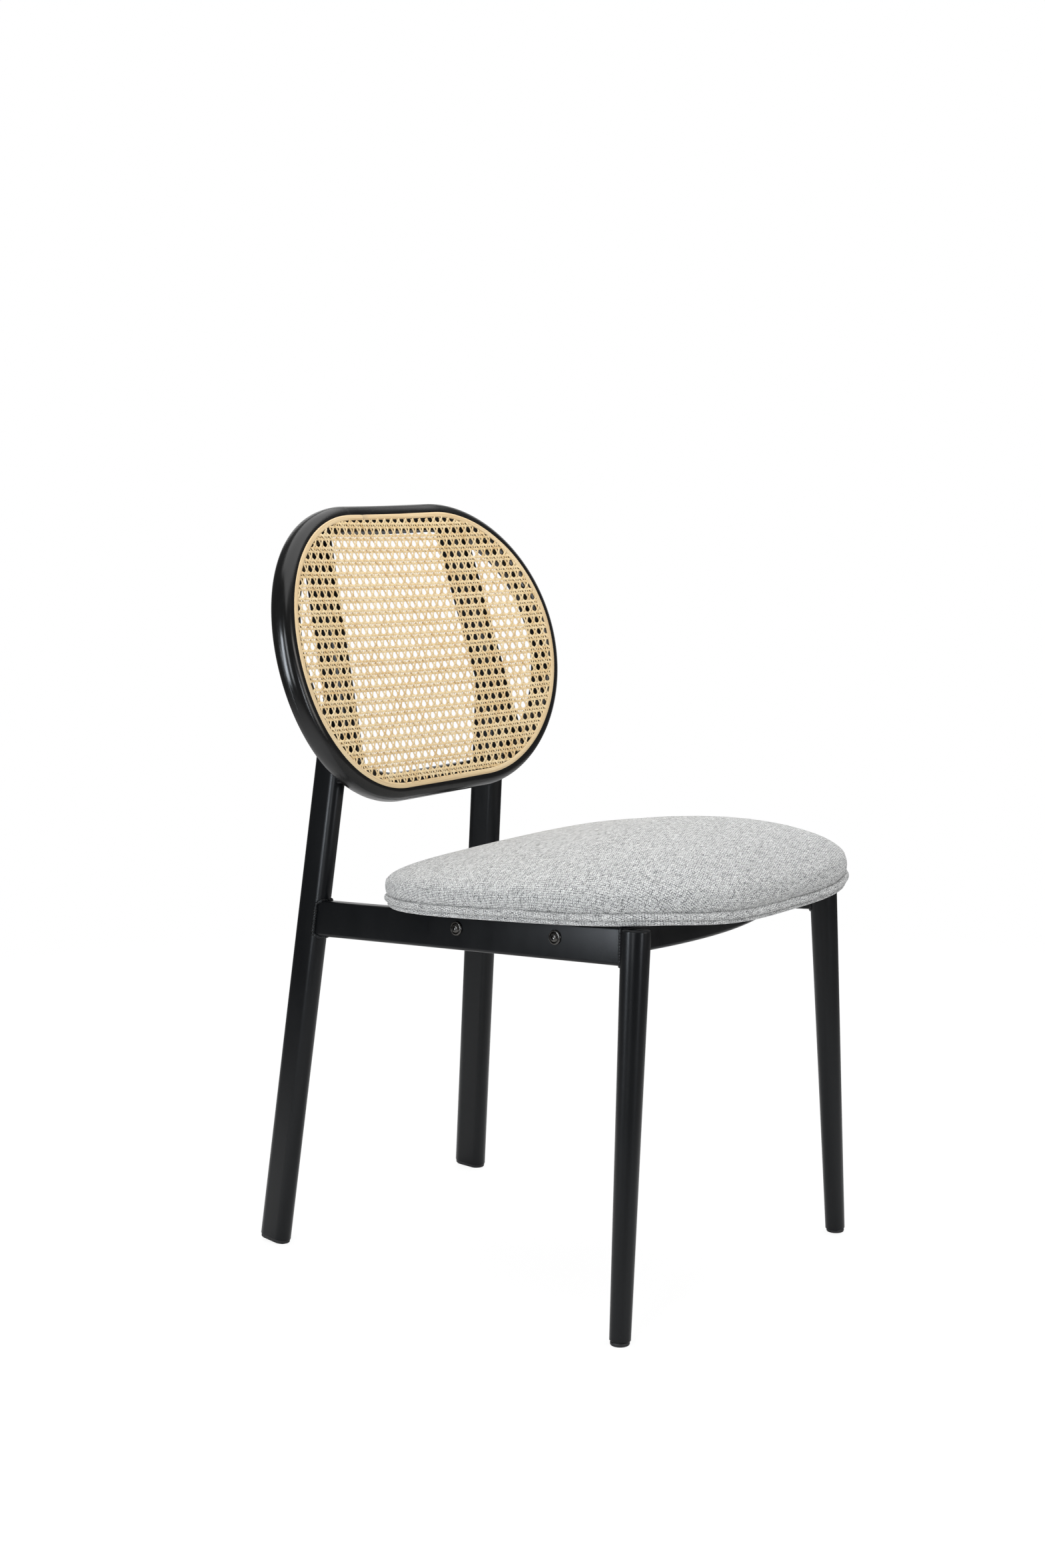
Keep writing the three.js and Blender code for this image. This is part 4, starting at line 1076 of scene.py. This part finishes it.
VOXEL = 5 * MM
FOAM_HOLD = 0.3
HOLD_TOP = 18 * MM
HOLD_FADE = 5 * MM
FRAMES = 20
MOST_MOVE = 6 * MM
CLOTH = {
    "quality": 6, "mass": 0.3, "tension_stiffness": 12, "compression_stiffness": 12, "shear_stiffness": 6,
    "bending_stiffness": 1.5, "use_pressure": True, "uniform_pressure_force": 3, "pin_stiffness": 1.2,
}


def simulated_pad(obj):
    """Remeshes the pad and lets it settle under pressure; the foam's hold keeps it close to where it was."""
    remesh = obj.modifiers.new("remesh", "REMESH")
    remesh.mode = "VOXEL"
    remesh.voxel_size = VOXEL
    obj.data = mesh_of(obj)
    obj.modifiers.clear()
    start = coordinates(obj.data)
    held = obj.vertex_groups.new(name="held")
    for index, z in enumerate(start[:, 2] + np.array([waterfall(y) for y in start[:, 1]])):
        held.add([index], float(np.clip((HOLD_TOP - z) / HOLD_FADE, FOAM_HOLD, 1)), "REPLACE")
    cloth = obj.modifiers.new("cloth", "CLOTH")
    for key, value in CLOTH.items():
        setattr(cloth.settings, key, value)
    cloth.settings.vertex_group_mass = held.name
    cloth.settings.effector_weights.gravity = 0
    cloth.collision_settings.use_collision = False
    cloth.point_cache.frame_start = 1
    cloth.point_cache.frame_end = FRAMES
    scene = bpy.context.scene
    for number in range(1, FRAMES + 1):
        scene.frame_set(number)
    move = coordinates(mesh_of(obj)) - start
    scene.frame_set(1)
    obj.modifiers.clear()
    obj.vertex_groups.clear()
    size = np.linalg.norm(move, axis=1, keepdims=True)
    move *= np.minimum(1, MOST_MOVE / np.maximum(size, 1e-9))
    obj.data.vertices.foreach_set("co", (start + move).ravel())


def cloth_places(points):
    """Where each point of the pad lies on its flat cloth, measured down from the middle of the crown."""
    angles = np.linspace(-pi, pi, 121)
    tracks = []
    for angle in angles:
        x, y = cos(angle), sin(angle)
        edge = (abs(x / SEAT_HALF) ** PLAN_POWER + abs(y / plan_reach(y)) ** PLAN_POWER) ** (-1 / PLAN_POWER)
        track = [(0.0, BORDER + crown(0, WIDEST_Y))]
        for inset, share, height in reversed(pad_profile(0, 0)[4:]):
            py = WIDEST_Y + y * edge * share
            track.append(((edge - inset) * share, height(py) - waterfall(py)))
        tracks.append(track)
    tracks = np.array(tracks)
    steps = np.hypot(*np.moveaxis(np.diff(tracks, axis=1), 2, 0))
    lengths = np.concatenate([np.zeros((len(angles), 1)), np.cumsum(steps, 1)], 1)
    tracks = np.dstack([tracks, lengths])
    dx, dy = points[:, 0], points[:, 1] - WIDEST_Y
    turn, reach = np.arctan2(dy, dx), np.hypot(dx, dy)
    place_at = (turn + pi) / TAU * (len(angles) - 1)
    low = np.clip(place_at.astype(int), 0, len(angles) - 2)
    share = (place_at - low)[:, None, None]
    r, h, d = np.moveaxis(tracks[low] * (1 - share) + tracks[low + 1] * share, 2, 0)
    best = np.full(len(points), 1e9)
    along = np.zeros(len(points))
    for k in range(r.shape[1] - 1):
        ax, az = r[:, k], h[:, k]
        bx, bz = r[:, k + 1] - ax, h[:, k + 1] - az
        t = ((reach - ax) * bx + (points[:, 2] - az) * bz) / np.maximum(bx * bx + bz * bz, 1e-12)
        t = np.clip(t, 0, 1)
        gap = np.hypot(reach - ax - t * bx, points[:, 2] - az - t * bz)
        closer = gap < best
        best = np.where(closer, gap, best)
        along = np.where(closer, d[:, k] + t * (d[:, k + 1] - d[:, k]), along)
    return np.stack([along * np.cos(turn), along * np.sin(turn), np.zeros(len(points))], 1)


HALF_DEPTH = 0.228
PUCKER = 1.9 * MM
PUCKER_FADE = 9 * MM


def seam_detail(points):
    """Small puckers above the seam and slow hand-made unevenness of the cover."""
    _, total = even_plan(10, 0)
    out = points.copy()
    for index, (x, y, z) in enumerate(points):
        z += waterfall(y)
        around = atan2(y - WIDEST_Y, x) / TAU * total
        outward = Vector((x / SEAT_HALF ** 2, (y - WIDEST_Y) / HALF_DEPTH ** 2)).normalized()
        above = z - SEAM_Z
        shift = 0.0
        if -2 * MM < above < 30 * MM:
            fade = exp(-max(above, 0) / PUCKER_FADE) * min(1, max(above + 2 * MM, 0) / (4 * MM))
            pull = uneven(around * 75, z * 30, 0.0)
            shift -= PUCKER * fade * max(pull, -0.25)
        if above > 0:
            shift += 0.5 * MM * uneven(x * 11, y * 11, z * 22)
        out[index, 0] += outward.x * shift
        out[index, 1] += outward.y * shift
        if z > BORDER:
            out[index, 2] += 0.6 * MM * uneven(x * 9 + 4, y * 9, 2.0)
    return out


def cushion():
    pad = Shell().sweep(pad_rings(1.5 * MM, 1.5 * MM, 96)).mesh("seat_pad", COVER, 180)
    simulated_pad(pad)
    smooth = pad.modifiers.new("smooth", "SUBSURF")
    smooth.levels = smooth.render_levels = 1
    pad.data = mesh_of(pad)
    pad.modifiers.clear()
    mesh = pad.data
    points = seam_detail(coordinates(mesh))
    add_field(mesh, "cloth", cloth_places(points))
    mesh.vertices.foreach_set("co", points.ravel())
    mesh.transform(SEAT)
    mesh.shade_smooth()
    if not mesh.materials:
        mesh.materials.append(COVER.material)
    mesh.update()
    dress(pad, COVER, "seat_cover", "seat_foam")


def wave(around, *terms):
    """Unevenness along the seam: a sum of noises, each with a height in millimetres, a rate and a place."""
    return sum(height * MM * uneven(around * rate, *at) for height, rate, at in terms)


BAND_SECTION = (
    (-34, 1.3), (-34, 0.3), (-22, 0.15), (-13, 0.1), (-9.0, 0.25), (-6.4, 0.9), (-4.9, 2.1), (-4.3, 3.6),
    (-4.5, 4.9), (-5.4, 5.7), (-5.2, 6.0), (-3.6, 6.4), (-2.2, 7.4), (-1.4, 8.9), (-1.2, 10.5), (-1.8, 12.1),
    (-3.3, 13.4), (-6.0, 14.0), (-10, 13.6), (-12, 7), (-14, 1.8))


def seat_band():
    """The cover's lower border: a rolled strip under the seam that turns in below the board."""
    count = 300
    points, total = even_plan(count, 0.0)
    rings = []
    for i, (x, y) in enumerate(points):
        ahead, behind = points[(i + 1) % count], points[i - 1]
        tangent = Vector((ahead[0] - behind[0], ahead[1] - behind[1])).normalized()
        outward = Vector((tangent.y, -tangent.x))
        around = i * total / count
        swell = wave(around, (0.7, 45, (5.0, 0)), (0.4, 170, (8.0, 0)))
        rise = wave(around, (1.9, 20, (2.0, 4.0)), (0.5, 90, (6.0, 1.0)))
        ring = []
        for o, z in BAND_SECTION:
            weight = 1 if -7 < o else 0
            reach = o * MM + swell * weight
            px, py = x + outward.x * reach, y + outward.y * reach
            lift = z * MM + 0.5 * swell * weight + rise * min(max(z - 4, 0) / 7, 1) * weight
            ring.append(Vector((px, py, lift - waterfall(py))))
        rings.append(ring)
    shell = Shell().sweep(rings, closed=True)
    down = [0.0]
    for one, two in zip(BAND_SECTION, BAND_SECTION[1:]):
        down.append(down[-1] + dist(one, two) * MM)
    places = [(i * total / count, d + 0.3, 0.0) for i in range(count) for d in down]
    band = finish_mesh("seat_band", shell.points, shell.faces, COVER, 70, ("cloth", places))
    band.data.transform(SEAT)
    dress(band, COVER, "seat_cover")


def dust_cloth():
    """The black cloth under the seat, stretched between its folded and stapled edge."""
    count, inset = 96, 27 * MM
    points, total = even_plan(count, inset)
    under, over = [], []
    for share in (0.12, 0.3, 0.5, 0.68, 0.82, 0.92, 0.975, 1.0):
        slack = 0.28 * MM * (1 - max(0, (share - 0.9) * 10))
        ring = [Vector((x, y, 0.45 * MM + slack * uneven(x * 30, y * 30, 0) - waterfall(y)))
                for x, y in toward_middle(points, share)]
        under.append(ring)
        over.append([p + Vector((0, 0, 0.5 * MM)) for p in ring])
    cloth = Shell().sweep(under + over[::-1]).mesh("dust_cloth_sheet", DUST, 60)
    cloth.data.transform(SEAT)
    dress(cloth, DUST, "dust_cover")


side_frames()
cross_rails()
feet()
bolts()
rim()
bead()
cane_panel()
cushion()
seat_band()
dust_cloth()


# Camera, floor and light

FLOOR_R = 2.6
FILL_LEVEL = 0.64
GLOSS_LEVEL = 0.12
# Name, place, target, size, radiance (1 is white), colour, and whether it lights matt surfaces too
LAMPS = (
    ("overhead", (0.4, 0.0, 2.6), (0.1, 0.0, 0.4), (3.2, 3.0), 1.7, (1, 1, 1), True),
    ("white_wall", (2.3, 1.7, 1.2), (0, 0, 0.6), (3.6, 2.4), 0.74, (1, 1, 1), True),
    ("left_bank", (-2.6, -0.75, 1.25), (0, 0, 0.6), (0.5, 1.8), 7.4, (0.93, 0.98, 1.03), True),
    ("front_bank", (0.9, -2.7, 1.3), (0, 0, 0.5), (0.6, 1.7), 4.8, (1.03, 1.0, 0.95), False),
    ("left_glint", (-1.7, 0.5, 0.78), (-0.24, 0.19, 0.68), (0.24, 0.95), 21.0, (0.9, 0.97, 1.05), False),
    ("front_glint", (-0.6, -2.8, 0.7), (0, 0, 0.6), (0.3, 1.0), 14.0, (0.92, 0.97, 1.04), False),
)


def studio():
    ground = Shell().lathe([(FLOOR_R * share, 0) for share in (0, 0.25, 0.5, 0.75, 1)], Matrix(), 64)
    floor = ground.mesh("studio_floor", floor_look(), 180)
    world = bpy.data.worlds.new("studio_white")
    bpy.context.scene.world = world
    tree = Tree(world)
    path = tree.add("LightPath").outputs
    level = FILL_LEVEL
    strengths = {"Is Glossy Ray": GLOSS_LEVEL, "Is Transmission Ray": 1.0, "Is Camera Ray": 1.0}
    for name, strength in strengths.items():
        level = tree.span(path[name], 0.0, 1.0, level, strength)
    background = tree.nodes["Background"].inputs
    background["Color"].default_value = (1, 1, 1, 1)
    tree.feed(background["Strength"], level)
    for row in LAMPS:
        lamp(*row)


def lamp(name, at, target, size, radiance, colour, diffuse):
    """A rectangular softbox of an even brightness."""
    data = bpy.data.lights.new(name, "AREA")
    data.shape = "RECTANGLE"
    data.size, data.size_y = size
    data.energy = radiance * pi * size[0] * size[1]
    data.color = colour
    obj = bpy.data.objects.new(name, data)
    obj.location = at
    obj.visible_diffuse = diffuse
    obj.rotation_euler = (Vector(at) - Vector(target)).to_track_quat("Z", "Y").to_euler()
    bpy.context.collection.objects.link(obj)


def floor_look():
    """A pale floor that fades out into the white backdrop."""
    g = Graph("floor_white", roughness=0.9, specular=0.1)
    g.surface("Base Color", g.mix(g.noise(g.places(), 3.0), (0.90, 0.90, 0.90), (0.93, 0.93, 0.93)))
    seen = g.add("LightPath").outputs["Is Camera Ray"]
    glow = g.add("Emission", {"Color": (1, 1, 1, 1), "Strength": 1.06}).outputs[0]
    lit = g.add("MixShader", {0: g.times(seen, 0.84), 1: g.shader.outputs[0], 2: glow}).outputs[0]
    x, y, _ = g.split(g.places())
    away = g.math("SQRT", g.plus(g.times(x, x), g.times(y, y)))
    clear = g.add("BsdfTransparent").outputs[0]
    gone = g.add("MixShader", {0: g.span(away, 0.55, 1.9), 1: lit, 2: clear}).outputs[0]
    g.links.new(gone, g.nodes["Material Output"].inputs["Surface"])
    return g


# The photo's camera, fitted to the cane and the legs
CAMERA_AT = (-2.20252, -1.55215, 0.90471)
CAMERA_TURN = (-0.938905811, 0.1369327, -0.000923319)
LENS = 55.84
SENSOR = 36


def camera():
    azimuth, elevation, roll = CAMERA_TURN
    level = cos(elevation)
    back = Vector((sin(azimuth) * level, -cos(azimuth) * level, sin(elevation)))
    right = Vector((cos(azimuth), sin(azimuth), 0))
    up = back.cross(right)
    right, up = (cos(roll) * right + sin(roll) * up, -sin(roll) * right + cos(roll) * up)
    data = bpy.data.cameras.new("photo_camera")
    data.lens, data.sensor_width, data.clip_start = LENS, SENSOR, 0.05
    obj = bpy.data.objects.new("photo_camera", data)
    obj.matrix_world = shift(*CAMERA_AT) @ Matrix((right, up, back)).transposed().to_4x4()
    bpy.context.collection.objects.link(obj)
    bpy.context.scene.camera = obj


camera()
studio()
bpy.context.scene.view_settings.view_transform = "Standard"
